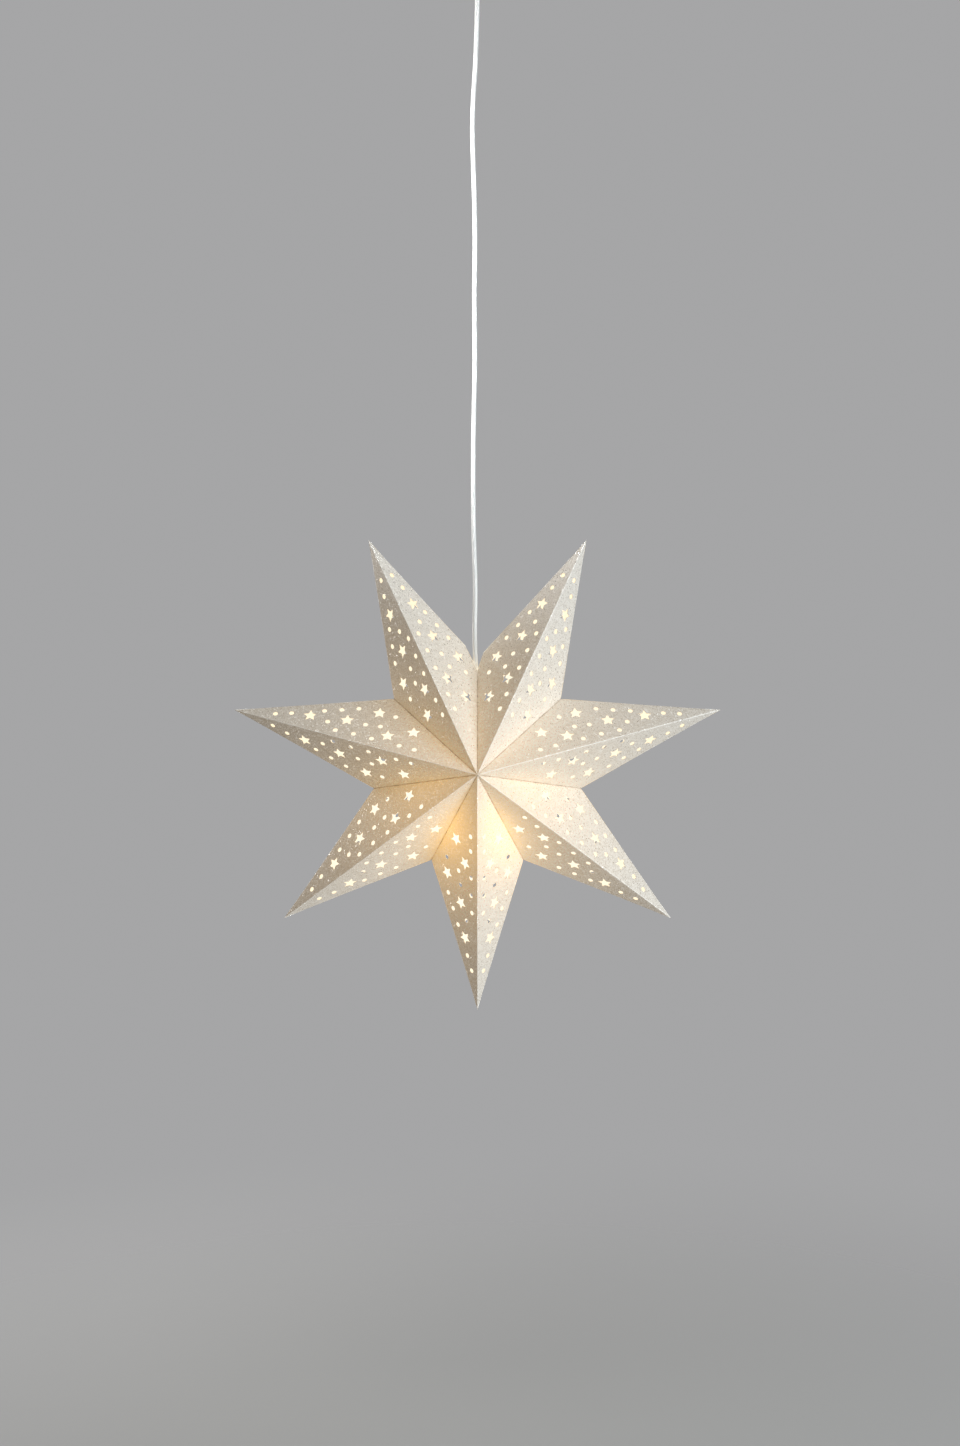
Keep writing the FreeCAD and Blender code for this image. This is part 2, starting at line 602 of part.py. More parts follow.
# ---- bulb -------------------------------------------------------------------------------------------------
def bulb_glass():
    """A thin blown ball with a neck that goes up into the screw cap."""
    def blown(inset):
        ball = BULB_RADIUS - inset
        shoulder = BULB_SHOULDER - inset
        neck = BULB_NECK - inset
        throat = BULB_CAP_BORE - SLIDING_FIT - inset
        height = BULB_CENTRE + math.sqrt(ball ** 2 - shoulder ** 2)
        bow, drop = BULB_FLARE
        flare = ((neck + bow, (height + BULB_NECK_BOTTOM) / 2 - drop), (shoulder, height))
        bottom = ((ball, BULB_CENTRE), (0, BULB_CENTRE - ball))
        return lathe([(throat, STEM_TOP), (throat, BULB_CAP_BOTTOM - inset), (neck, BULB_NECK_BOTTOM), flare,
                      bottom, (0, STEM_TOP)])

    return blown(0).cut(blown(BULB_GLASS))


def bulb_cap():
    """The screw cap, with the thread as plain rings."""
    profile = [(BULB_CAP_BORE, BULB_CAP_BOTTOM), (BULB_CAP_CREST, BULB_CAP_BOTTOM)]
    height = BULB_CAP_BOTTOM + BULB_CAP_RIM
    profile.append((BULB_CAP_CREST, height))
    for _ in range(BULB_CAP_TURNS):
        profile += [(BULB_CAP_ROOT, height + BULB_CAP_PITCH / 4),
                    (BULB_CAP_ROOT, height + BULB_CAP_PITCH / 2),
                    (BULB_CAP_CREST, height + BULB_CAP_PITCH * 3 / 4),
                    (BULB_CAP_CREST, height + BULB_CAP_PITCH)]
        height += BULB_CAP_PITCH
    profile += [(BULB_CAP_ROOT, height + BULB_CAP_RUNOUT), (BULB_CAP_ROOT, BULB_CAP_TOP),
                (BULB_CAP_BORE, BULB_CAP_TOP)]
    return lathe(profile)


def bulb_insulator():
    """The cone of dark glass between the screw cap and the end contact."""
    top = BULB_CAP_TOP + INSULATOR_HEIGHT
    return lathe([(0, BULB_CAP_TOP), (BULB_CAP_ROOT, BULB_CAP_TOP), (BULB_TIP_RADIUS + INSULATOR_MARGIN, top),
                  (0, top)])


def bulb_contact():
    """The domed solder contact at the end of the bulb's cap."""
    low = BULB_CAP_TOP + INSULATOR_HEIGHT
    rise = BULB_TIP_HEIGHT - low
    dome = (BULB_TIP_RADIUS ** 2 + rise ** 2) / (2 * rise)
    half = math.asin(BULB_TIP_RADIUS / dome) / 2
    middle = (dome * math.sin(half), BULB_TIP_HEIGHT - dome * (1 - math.cos(half)))
    return lathe([(0, low), (BULB_TIP_RADIUS, low), (middle, (0, BULB_TIP_HEIGHT))])


def bulb_stem():
    """The glass foot inside the neck that carries the filament's wires."""
    inner = BULB_CAP_BORE - SLIDING_FIT - BULB_GLASS
    stem = lathe([(0, STEM_TOP), (inner, STEM_TOP), (inner, STEM_TOP - STEM_RIM),
                  (STEM_RADIUS, STEM_TOP - STEM_FLARE), (STEM_RADIUS, STEM_BOTTOM), (0, STEM_BOTTOM)])
    low, high = STEM_BOTTOM - LEAD_IN_STEM, STEM_BOTTOM + LEAD_IN_STEM
    return stem.cut([rod((x, 0, low), (x, 0, high), FILAMENT_WIRE)
                     for x in (-LEAD_SPACING / 2, LEAD_SPACING / 2)])


def bulb_filament():
    """Two lead wires out of the stem, and the filament hung between them in a shallow curve."""
    x = LEAD_SPACING / 2
    top, low = STEM_BOTTOM + LEAD_IN_STEM, STEM_BOTTOM - LEAD_BELOW_STEM
    dips = [(share * FILAMENT_SPREAD, -FILAMENT_BOW, FILAMENT_HEIGHT - drop) for share, drop in FILAMENT_DIP]
    route = [(-x, 0, top), (-x, 0, low), (-FILAMENT_SPREAD, 0, FILAMENT_HEIGHT), *dips,
             (FILAMENT_SPREAD, 0, FILAMENT_HEIGHT), (x, 0, low), (x, 0, top)]
    return tube(path_through(route, FILAMENT_BEND), FILAMENT_WIRE)


# ---- ceiling fitting --------------------------------------------------------------------------------------
def ceiling_plate():
    """A round steel plate with two screw holes, a cable hole and a hole for the hook."""
    plate = Part.makeCylinder(PLATE_RADIUS, PLATE, Vector(0, 0, -PLATE))
    holes = [rod((0, side * PLATE_SCREW_SPACING / 2, -2 * PLATE), (0, side * PLATE_SCREW_SPACING / 2, PLATE),
                 PLATE_SCREW_HOLE) for side in (-1, 1)]
    holes.append(rod((CABLE_HOLE_X, 0, -2 * PLATE), (CABLE_HOLE_X, 0, PLATE), CABLE_HOLE))
    holes.append(rod((0, 0, -2 * PLATE), (0, 0, PLATE), HOOK_WIRE + 2 * SLIDING_FIT))
    return plate.cut(holes)


def ceiling_hook():
    """A question-mark hook with a washer under the plate."""
    centre_z = -HOOK_SHANK - HOOK_RADIUS

    def on_bowl(degrees):
        """A point on the bowl's centreline, with the angle from its top, round by the right side."""
        angle = math.radians(degrees)
        return Vector(HOOK_RADIUS * math.sin(angle), 0, centre_z + HOOK_RADIUS * math.cos(angle))

    stations = (0, 180, 270, 270 + HOOK_MOUTH)
    bowl = Part.Wire([Part.Arc(on_bowl(start), on_bowl((start + end) / 2), on_bowl(end)).toShape()
                      for start, end in zip(stations, stations[1:])])
    ring = Part.Wire(Part.makeCircle(HOOK_WIRE / 2, on_bowl(0), RIGHT))
    body = bowl.makePipeShell([ring], True, False)
    shank = rod((0, 0, -HOOK_SHANK), (0, 0, 0), HOOK_WIRE)
    knee = Part.makeSphere(HOOK_WIRE / 2, on_bowl(0))
    washer = Part.makeCylinder(HOOK_WIRE, HOOK_WASHER, Vector(0, 0, -PLATE - HOOK_WASHER))
    return body.fuse([shank, knee, washer]).removeSplitter()


def cord_hanger():
    """The strain relief: a block that clamps the cord, with an eye that hangs on the hook."""
    bowl_radius = HOOK_RADIUS - HOOK_WIRE / 2
    bowl_top = -HOOK_SHANK - HOOK_RADIUS - math.sqrt(bowl_radius ** 2 - (HANGER_PLATE / 2) ** 2)
    eye_z = bowl_top + SLIDING_FIT - HANGER_EYE / 2
    half = HANGER_WIDTH / 2
    block = box((-half, -half, HANGER_BLOCK_BOTTOM), (half, half, HANGER_BLOCK_TOP))
    upright = [edge for edge in block.Edges if abs(edge.Vertexes[0].Z - edge.Vertexes[-1].Z) > half]
    block = block.makeFillet(HANGER_ROUNDING, upright)
    plate = box((-HANGER_PLATE / 2, -half, HANGER_BLOCK_TOP - HANGER_OVERLAP),
                (HANGER_PLATE / 2, half, eye_z))
    crown_radius = HANGER_EYE / 2 + HANGER_BAR
    crown = Part.makeCylinder(crown_radius, HANGER_PLATE, Vector(-HANGER_PLATE / 2, 0, eye_z), RIGHT)
    body = block.fuse([plate, crown])
    slot_low, slot_high = HANGER_SLOT
    slot_half = HANGER_SLOT_WIDTH / 2
    cuts = [Part.makeCylinder(HANGER_EYE / 2, 2 * HANGER_PLATE, Vector(-HANGER_PLATE, 0, eye_z), RIGHT),
            rod((0, 0, HANGER_BLOCK_BOTTOM - 1), (0, 0, slot_low + 1), CORD_DIAMETER + 2 * SLIDING_FIT),
            box((-CORD_DIAMETER / 2, -slot_half, slot_low), (2 * half, slot_half, slot_high)),
            rod((0, -2 * half, HANGER_SCREW_HEIGHT), (0, 0, HANGER_SCREW_HEIGHT),
                HANGER_SCREW + 2 * SLIDING_FIT)]
    return body.cut(cuts).removeSplitter()


def hanger_screw():
    """The clamping screw in the hanger's front."""
    face = -HANGER_WIDTH / 2
    tip = -CORD_DIAMETER / 2 - SLIDING_FIT
    head_diameter, head_height = HANGER_SCREW_HEAD
    slot_width, slot_depth = HANGER_SCREW_SLOT
    end = face - head_height
    shank = rod((0, face, HANGER_SCREW_HEIGHT), (0, tip, HANGER_SCREW_HEIGHT), HANGER_SCREW)
    head = rod((0, end, HANGER_SCREW_HEIGHT), (0, face, HANGER_SCREW_HEIGHT), head_diameter)
    slot = box((-head_diameter, end - slot_depth, HANGER_SCREW_HEIGHT - slot_width / 2),
               (head_diameter, end + slot_depth, HANGER_SCREW_HEIGHT + slot_width / 2))
    return shank.fuse(head).cut(slot)


def terminal_block():
    """The two-pole block under the plate, its brass tubes and their screws."""
    low_x, high_x = BLOCK_X
    top = -PLATE
    bottom = top - BLOCK_HEIGHT
    middle = (top + bottom) / 2
    block = box((low_x, -BLOCK_HALF_WIDTH, bottom), (high_x, BLOCK_HALF_WIDTH, top))
    tubes, screws = [], []
    for side in (-1, 1):
        y = side * TUBE_SPACING / 2
        block = block.cut(rod((low_x - 1, y, middle), (high_x + 1, y, middle), TUBE_OUTER + 2 * SLIDING_FIT))
        sleeve = rod((low_x, y, middle), (high_x, y, middle), TUBE_OUTER)
        sleeve = sleeve.cut(rod((low_x - 1, y, middle), (high_x + 1, y, middle), TUBE_BORE))
        for x in (low_x + TUBE_SCREW_INSET, high_x - TUBE_SCREW_INSET):
            hole = rod((x, y, bottom - 1), (x, y, middle), TUBE_SCREW + 2 * SLIDING_FIT)
            block = block.cut(hole)
            sleeve = sleeve.cut(hole)
            tip = middle - CORE_DIAMETER / 2 - SLIDING_FIT
            end = bottom + TUBE_SCREW_DEPTH
            slot = box((x - TUBE_SCREW, y - SCREW_SLOT / 2, bottom),
                       (x + TUBE_SCREW, y + SCREW_SLOT / 2, end + SCREW_SLOT_DEPTH))
            screws.append(rod((x, y, end), (x, y, tip), TUBE_SCREW).cut(slot))
        tubes.append(sleeve)
    return block, tubes, screws


def ceiling_cores():
    """The two cores from the hanger to the terminal block."""
    slot_low, slot_high = HANGER_SLOT
    slot_middle = (slot_low + slot_high) / 2
    level = -PLATE - BLOCK_HEIGHT / 2
    cores = []
    for side in (-1, 1):
        near, far = side * CORE_SPACING / 2, side * TUBE_SPACING / 2
        leaving = side * (HANGER_SLOT_WIDTH - CORE_DIAMETER) / 2 * CORE_TO_SLOT
        route = [(0, near, slot_low), (0, near, slot_middle), (CORE_LOOP_X, leaving, slot_middle),
                 (CORE_LOOP_X, far, HANGER_BLOCK_TOP), (CORE_LOOP_X, far, level),
                 (BLOCK_X[0] + CORE_IN_TUBE, far, level)]
        cores.append(tube(path_through(route), CORE_DIAMETER))
    return cores


def canopy_cup():
    """The cup that hides the ceiling fitting, open at the top."""
    outer, wall, edge, low = CANOPY_RADIUS, CANOPY_WALL, CANOPY_EDGE, -CANOPY_HEIGHT
    inner_edge = edge - wall
    corner = math.sqrt(0.5)
    outer_arc = ((outer - edge + edge * corner, low + edge - edge * corner), (outer, low + edge))
    inner_arc = ((outer - edge + inner_edge * corner, low + edge - inner_edge * corner),
                 (outer - edge, low + wall))
    return lathe([(CANOPY_HOLE / 2, low), (outer - edge, low), outer_arc, (outer, 0), (outer - wall, 0),
                  (outer - wall, low + edge), inner_arc, (CANOPY_HOLE / 2, low + wall)])


def canopy_grommet():
    """The soft ring in the cup's floor that grips the cord."""
    bore = CORD_DIAMETER / 2 + SLIDING_FIT
    neck = CANOPY_HOLE / 2 - SLIDING_FIT
    flange = GROMMET_FLANGE / 2
    low, floor = -CANOPY_HEIGHT, -CANOPY_HEIGHT + CANOPY_WALL
    under, over = low - GROMMET_FLANGE_HEIGHT, floor + GROMMET_FLANGE_HEIGHT
    inward, up = GROMMET_CHAMFER
    return lathe([(bore, under), (flange - inward, under), (flange, under + up), (flange, low), (neck, low),
                  (neck, floor), (flange, floor), (flange, over - up), (flange - inward, over), (bore, over)])


def main():
    os.makedirs("parts", exist_ok=True)

    paper_star()
    save("star_eyelets", *[from_star(eyelet(side)) for side in (-1, 1)])
    save("closing_fasteners", *[from_star(fastener(distance, side))
                                for distance in FASTENERS_FROM_NOTCH for side in (-1, 1)])
    save("wire_bail", from_star(wire_bail()))

    save("socket_shell", from_star(socket_shell()))
    save("socket_cap", from_star(socket_cap()))
    save("cord_grip_screw", from_star(cord_grip_screw()))
    save("socket_insert", from_star(socket_insert()))
    save("screw_shell", from_star(screw_shell()))
    save("centre_contact", from_star(centre_contact()))
    terminals, terminal_screws = socket_terminals()
    save("socket_terminals", *[from_star(solid) for solid in terminals])
    save("socket_terminal_screws", *[from_star(solid) for solid in terminal_screws])
    save("cord_tail", from_star(rod((0, 0, CORD_TAIL_BOTTOM), (0, 0, BOSS_TOP), CORD_DIAMETER)))
    save("holder_cores", *[from_star(core) for core in holder_cores()])

    save("bulb_glass", from_star(bulb_glass()))
    save("bulb_cap", from_star(bulb_cap()))
    save("bulb_insulator", from_star(bulb_insulator()))
    save("bulb_contact", from_star(bulb_contact()))
    save("bulb_stem", from_star(bulb_stem()))
    save("bulb_filament", from_star(bulb_filament()))

    save("cord", from_star(tube(path_through(CORD_ROUTE, report="cord"), CORD_DIAMETER, report="cord")))
    save("cord_lead", rod((0, 0, LEAD_BOTTOM), (0, 0, HANGER_SLOT[0]), CORD_DIAMETER))

    save("ceiling_plate", ceiling_plate())
    save("ceiling_hook", ceiling_hook())
    save("cord_hanger", cord_hanger())
    save("hanger_screw", hanger_screw())
    block, tubes, screws = terminal_block()
    save("terminal_block", block)
    save("terminal_tubes", *tubes)
    save("terminal_screws", *screws)
    save("ceiling_cores", *ceiling_cores())
    save("canopy_cup", canopy_cup())
    save("canopy_grommet", canopy_grommet())


main()
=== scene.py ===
"""Moravian star pendant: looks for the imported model.

Metres, +Z up, the origin on the ceiling and -Y the front. The star's sizes are read from the frame. The
punched card, the cord and every finish are made here. Run as a script; it is laid out as an add-on.
"""
import math

import bmesh
import bpy
from mathutils import Matrix, Vector, noise
from mathutils.geometry import delaunay_2d_cdt


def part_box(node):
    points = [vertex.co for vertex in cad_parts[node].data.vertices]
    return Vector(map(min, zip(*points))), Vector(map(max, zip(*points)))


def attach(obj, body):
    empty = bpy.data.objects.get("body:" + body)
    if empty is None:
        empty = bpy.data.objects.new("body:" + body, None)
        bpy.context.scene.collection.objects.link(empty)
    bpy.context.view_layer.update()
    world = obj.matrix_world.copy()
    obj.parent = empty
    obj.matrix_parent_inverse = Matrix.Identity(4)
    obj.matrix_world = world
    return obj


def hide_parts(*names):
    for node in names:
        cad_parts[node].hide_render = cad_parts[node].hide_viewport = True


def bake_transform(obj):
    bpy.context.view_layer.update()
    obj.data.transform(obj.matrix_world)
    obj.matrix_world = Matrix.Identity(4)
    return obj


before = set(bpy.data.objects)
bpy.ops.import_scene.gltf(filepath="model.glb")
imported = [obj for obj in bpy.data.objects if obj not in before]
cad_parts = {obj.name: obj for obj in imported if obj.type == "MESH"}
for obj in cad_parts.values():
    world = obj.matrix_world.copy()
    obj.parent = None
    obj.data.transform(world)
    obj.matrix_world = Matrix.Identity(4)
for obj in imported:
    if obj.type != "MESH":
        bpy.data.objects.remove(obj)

bl_info = {
    "name": "Moravian star pendant",
    "version": (1, 0, 0),
    "blender": (4, 5, 0),
    "location": "3D View > Sidebar > Star lamp",
    "description": "Dresses the star pendant: punched card, cord, bulb, holder and ceiling fitting",
    "category": "Add Mesh",
}

MM = 0.001
DECIMETRE = 0.1

# ---- what the frame says ------------------------------------------------------------------------------
POINT_COUNT = 7
HALF_SECTOR = math.pi / POINT_COUNT
LOWEST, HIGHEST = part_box("star_point_1")          # this point hangs straight down from the star's centre
CENTRE = Vector((0, 0, HIGHEST.z))
TIP_RADIUS = HIGHEST.z - LOWEST.z
HALF_DEPTH = HIGHEST.y
NOTCH_RADIUS = HIGHEST.x / math.sin(HALF_SECTOR)
BULB_LOW, BULB_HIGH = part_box("bulb_glass")
BULB_RADIUS = BULB_HIGH.x
BULB_CENTRE = Vector((0, 0, BULB_LOW.z + BULB_RADIUS))
CORD_EXIT = Vector((0, 0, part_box("cord_lead")[0].z))
CORD_END = Vector((0, 0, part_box("cord_tail")[1].z))

# ---- punched pattern of one facet, in millimetres: along the ridge from the apex, and off it ------------
CUT_STARS = ((97.0, 37.0), (124.0, 22.0), (148.0, 53.0), (180.0, 29.5), (225.0, 22.0))
DOTS = ((85.0, 12.0), (104.5, 12.0), (140.0, 11.5), (163.5, 11.5), (186.5, 10.0),
        (201.0, 19.5), (248.0, 18.0), (266.0, 10.5), (138.0, 33.0), (156.0, 30.0),
        (212.0, 34.5), (193.0, 43.0), (174.5, 51.5), (127.0, 53.5))
BACK_SHIFT = -11.0            # the back facets carry the same holes, this much nearer to the apex
CUT_STAR_ARMS = 5
DOT_SIDES = 16

# ---- the corners trimmed off the two points that meet at the top, and the way through for the cord -------
TRIM_DOWN = 14.0 * MM
TRIM_LEFT = 22.0 * MM
TRIM_RIGHT = 11.0 * MM
CORD_OPENING = 14.0 * MM
TOP_PART = 0.7                # the top flaps are looked for above this share of the notch radius

# ---- how the card departs from flat facets --------------------------------------------------------------
BOW_DRAW = 1.6                # a facet's bow is this times the bow setting, times a draw from -1 to 1
WAVE_DRAW = 0.35              # and so are the waves on it
WAVES_PER_METRE = 14.0
DRAW_STEP = 3.7               # between the places in the noise where two seeds draw
SEEDS_PER_POINT = 17.0
MIDDLE = 27                   # 1 over the product of a facet's three shares at its middle
MITRE = 1.6                   # the card is at most this many times its thickness across a fold
CARD_SHARP = math.radians(32)

# ---- tolerances, in metres ------------------------------------------------------------------------------
SAME_PLACE = 2e-6
IN_PLANE = 1e-5
ON_CUT = 1e-6
ON_PATTERN = 1e-7

# ---- the cord's free stretch, as in the part's source: x, y and height over the star's centre, in mm ------
CORD_ROUTE = ((-1.0, 0.4, 838.0), (-6.6, 1.2, 765.0), (-4.2, 1.6, 694.0), (-2.4, 1.0, 622.0),
              (-3.9, 0.2, 552.0), (-2.6, -0.6, 482.0), (-4.6, -1.0, 410.0), (-5.2, -0.6, 336.0),
              (-4.4, 0.4, 268.0), (-2.2, 0.8, 212.0), (-3.8, 0.6, 158.0), (-1.4, 0.2, 104.0),
              (0.0, 0.0, 72.0))
CORD_STEPS = 8                # stretches between two points of the route
CORD_SIDES = 20
CORD_SHARP = math.radians(50)
CORE_TWIST = 45.0 * MM        # along the cord, the wave of the twisted cores under its sheath

# ---- finishes -------------------------------------------------------------------------------------------
CELLS_PER_METRE = 900.0       # the card's grain: of its cells, shares are silver flakes and dark specks
FLAKE_SHARE = 0.20
SPECK_SHARE = 0.22
FLAKE_LEAN = 0.9
CARD_RELIEF = 0.05 * MM
CARD_ROUGHNESS = 0.62
GRIT_TINT = (0.60, 0.59, 0.56)
SPECK_TINT = (0.46, 0.44, 0.40)
# Whiter along the ridges and outer folds: the creased card's own whitening, plus a painted highlight where
# the folds catch the light.
RIDGE_WHITE_AND_HIGHLIGHT = (0.97, 0.97, 0.95)
# Painted shade: the inner side is the same card as the outer side, given a darker, warmer colour so that the
# lamp light painted on it as emission does not build up between the walls.
INNER_SHADED_TINT = (0.45, 0.40, 0.32)
EDGE_TINTS = (0.80, 0.72, 0.60), (0.66, 0.57, 0.44)
BROWN, BLUE, GREY = (0.17, 0.065, 0.025), (0.03, 0.13, 0.42), (0.1, 0.1, 0.1)
FINE_RELIEF = 0.02 * MM
SHEATH_RELIEF = 0.06 * MM

STRAIGHT_GLOW = 0.32          # light through the card straight from the bulb, over the glow setting
EDGE_STRAIGHT, EDGE_BOUNCED = 0.1, 1.8            # and both kinds of light at the card's cut edges
INSIDE_FAR = (0.06, 0.30)     # metres from the bulb over which the inner side takes its far colour
NECK_GLOW = 0.35              # brightness of the bulb's neck, over that of its ball
NECK_FAR = 1.6                # the neck's far end from the ball's centre, in ball radii

# ---- picture --------------------------------------------------------------------------------------------
CAMERA_DISTANCE = 2.7
CAMERA_ELEVATION = math.radians(5.5)
CAMERA_AIM = CENTRE + Vector((3.0 * MM, 0, 50.7 * MM))
CAMERA_SENSOR = 36.0          # millimetres, along the picture's long side
CAMERA_LENS = 55.9


# ---- settings -------------------------------------------------------------------------------------------
def length(name, description, default, least, most, precision=4):
    """A length setting, from values in millimetres."""
    return bpy.props.FloatProperty(name=name, description=description, default=default * MM, min=least * MM,
                                   max=most * MM, precision=precision, unit="LENGTH", subtype="DISTANCE")


def strength(name, description, default, most, subtype="NONE"):
    """A setting from nothing up."""
    return bpy.props.FloatProperty(name=name, description=description, default=default, min=0.0, max=most,
                                   subtype=subtype)


def colour(name, description, default):
    """A colour setting."""
    return bpy.props.FloatVectorProperty(name=name, description=description, default=default, size=3,
                                         min=0.0, max=1.0, subtype="COLOR")


class StarLampSizes(bpy.types.PropertyGroup):
    """Sizes of the card, its folds and its punched holes"""

    card: length("Card", "Thickness of the star's card", 0.4, 0.1, 1.0, 5)
    fold: length("Fold", "Distance from a fold over which the card rounds into it", 1.2, 0.3, 3.0, 5)
    flap: length("Flap", "Width of the glue flaps inside the valleys", 10.0, 4.0, 16.0)
    dot: length("Dot", "Diameter of the round holes", 6.0, 2.0, 9.0)
    cut_star: length("Cut star", "Radius of the punched stars at their arm tips", 8.8, 4.0, 10.0)
    cut_star_waist: length("Waist", "Radius of the punched stars at their inner corners", 4.2, 2.0, 7.0)
    bow: length("Bow", "How far the card of a facet bows at its middle", 0.9, 0.0, 3.0, 5)
    cord: length("Cord", "Diameter of the cord", 5.4, 3.0, 8.0)


class StarLampColours(bpy.types.PropertyGroup):
    """Colours of the card, the light and the plastics"""

    card: colour("Card", "The card between its glitter", (0.88, 0.87, 0.84))
    glitter: colour("Glitter", "The silver flakes on the card", (0.92, 0.92, 0.90))
    # Valley: the glue line at the bottom of a valley, darkened further with painted shade in that crease.
    valley: colour("Valley", "The glue line at the bottom of a valley", (0.36, 0.27, 0.18))
    glow: colour("Glow", "Lamp light that has bounced about and comes through the card", (1.0, 0.60, 0.17))
    ember: colour("Ember", "The part of that light that comes straight from the bulb", (1.0, 0.44, 0.03))
    inside: colour("Inside", "The lit inner side of the card, far from the bulb", (1.0, 0.93, 0.72))
    bulb: colour("Bulb", "Light of the frosted bulb", (1.0, 0.97, 0.87))
    plastic: colour("Plastic", "Cord, lamp holder and canopy", (0.92, 0.92, 0.91))
    floor: colour("Floor", "Floor under the lamp", (0.66, 0.66, 0.66))
    backdrop: colour("Backdrop", "Background", (0.38, 0.38, 0.385))


class StarLampLight(bpy.types.PropertyGroup):
    """Strengths of the lamp and of the studio lights"""

    glow: strength("Glow", "Bounced light through the card, a decimetre from the bulb", 0.28, 2.0)
    inside: strength("Inside", "Light on the inner side of the card", 0.66, 10.0)
    bulb: strength("Bulb", "Brightness of the bulb's glass", 2.0, 20.0)
    key: strength("Key", "Power of the large light on the right, in watts", 64.0, 400.0, "POWER")
    top: strength("Top", "Power of the light above the front, in watts", 11.0, 400.0, "POWER")
    back: strength("Back", "Power of the wide light behind on the left, in watts", 50.0, 400.0, "POWER")
    cord: strength("Cord", "Power of the narrow light on the cord, in watts", 1.5, 100.0, "POWER")
    sky: strength("Sky", "Strength of the even light from all round", 0.12, 2.0)


def settings():
    """The three groups of settings: sizes, colours and light."""
    scene = bpy.context.scene
    return scene.star_lamp_sizes, scene.star_lamp_colours, scene.star_lamp_light


# ---- materials ------------------------------------------------------------------------------------------
class Recipe:
    """One material's node tree, added to a node at a time."""

    COLOUR_INPUTS, COLOUR_OUTPUT = (6, 7), 2      # of a mix node

    def __init__(self, name):
        self.material = bpy.data.materials.new(name)
        self.material.use_nodes = True
        self.tree = self.material.node_tree
        self.tree.nodes.clear()
        self.coordinates = self.node("TexCoord")

    def node(self, kind, feeds=None, **values):
        """Add a node. Feeds maps its inputs to values or to other nodes' outputs."""
        made = self.tree.nodes.new("ShaderNode" + kind)
        for name, value in values.items():
            setattr(made, name, value)
        for name, value in (feeds or {}).items():
            self.feed(made.inputs[name], value)
        return made

    def feed(self, socket, value):
        """Link an input to another node's output, or set its value. A colour may leave out its alpha."""
        if isinstance(value, bpy.types.NodeSocket):
            self.tree.links.new(value, socket)
        elif socket.type == "RGBA" and len(value) == 3:
            socket.default_value = (*value, 1.0)
        else:
            socket.default_value = value

    def place(self):
        """The place on the piece at rest, in metres."""
        return self.coordinates.outputs["Object"]

    def math(self, operation, *values):
        """A sum on numbers."""
        return self.node("Math", dict(enumerate(values)), operation=operation).outputs[0]

    def times(self, *values):
        """The product of two numbers."""
        return self.math("MULTIPLY", *values)

    def vector(self, operation, *values, **feeds):
        """A sum on vectors. DOT_PRODUCT and LENGTH give a number."""
        made = self.node("VectorMath", {**dict(enumerate(values)), **feeds}, operation=operation)
        return made.outputs["Value" if operation in ("DOT_PRODUCT", "LENGTH") else "Vector"]

    def range(self, value, old, new=(0.0, 1.0)):
        """A smooth step of a number from an old range to a new one."""
        feeds = {"Value": value, "From Min": old[0], "From Max": old[1], "To Min": new[0], "To Max": new[1]}
        return self.node("MapRange", feeds, interpolation_type="SMOOTHSTEP").outputs[0]

    def mix(self, share, first, second):
        """A mix of two colours."""
        made = self.node("Mix", {0: share}, data_type="RGBA")
        for index, value in zip(self.COLOUR_INPUTS, (first, second)):
            self.feed(made.inputs[index], value)
        return made.outputs[self.COLOUR_OUTPUT]

    def noise(self, scale, detail=3.0, roughness=0.5):
        """Soft noise from 0 to 1. The scale is in lumps per metre."""
        feeds = {"Vector": self.place(), "Scale": scale, "Detail": detail, "Roughness": roughness}
        return self.node("TexNoise", feeds).outputs["Fac"]

    def cells(self, scale):
        """Cells of a random colour each, so many per metre."""
        return self.node("TexVoronoi", {"Vector": self.place(), "Scale": scale}).outputs["Color"]

    def split(self, kind, value):
        """The three numbers of a colour (kind Color) or of a vector (kind XYZ)."""
        return self.node("Separate" + kind, {0: value}).outputs[:]

    def from_bulb(self):
        """The distance from the bulb's centre."""
        return self.vector("LENGTH", self.vector("SUBTRACT", self.place(), BULB_CENTRE))

    def bump(self, height, distance, amount):
        """A surface relief of a given depth in metres."""
        return self.node("Bump", {"Height": height, "Distance": distance, "Strength": amount}).outputs[0]

    def surface(self, **inputs):
        """The main shader and the output. Input names are the shader's, with _ for a space."""
        feeds = {name.replace("_", " "): value for name, value in inputs.items()}
        shader = self.node("BsdfPrincipled", feeds)
        self.node("OutputMaterial", {"Surface": shader.outputs[0]})
        return self.material


def shade(tint, share):
    """A colour made darker, or lighter up to white."""
    return [min(1.0, part * share) for part in tint]


def lamp_light(make, straight, bounced):
    """Lamp light on the card, and the share of it that comes straight from the bulb.

    Both strengths are given for a decimetre from the bulb. Straight light goes with the cosine over the
    distance squared, bounced light with one over the distance.
    """
    way = make.vector("SUBTRACT", make.place(), BULB_CENTRE)
    distance = make.vector("LENGTH", way)
    facing = make.math("ABSOLUTE", make.vector("DOT_PRODUCT", way, make.coordinates.outputs["Normal"]))
    cube = make.math("POWER", distance, 3.0)
    first = make.math("DIVIDE", make.times(facing, straight * DECIMETRE ** 2), cube)
    both = make.math("ADD", first, make.math("DIVIDE", bounced * DECIMETRE, distance))
    return both, make.math("DIVIDE", first, both)


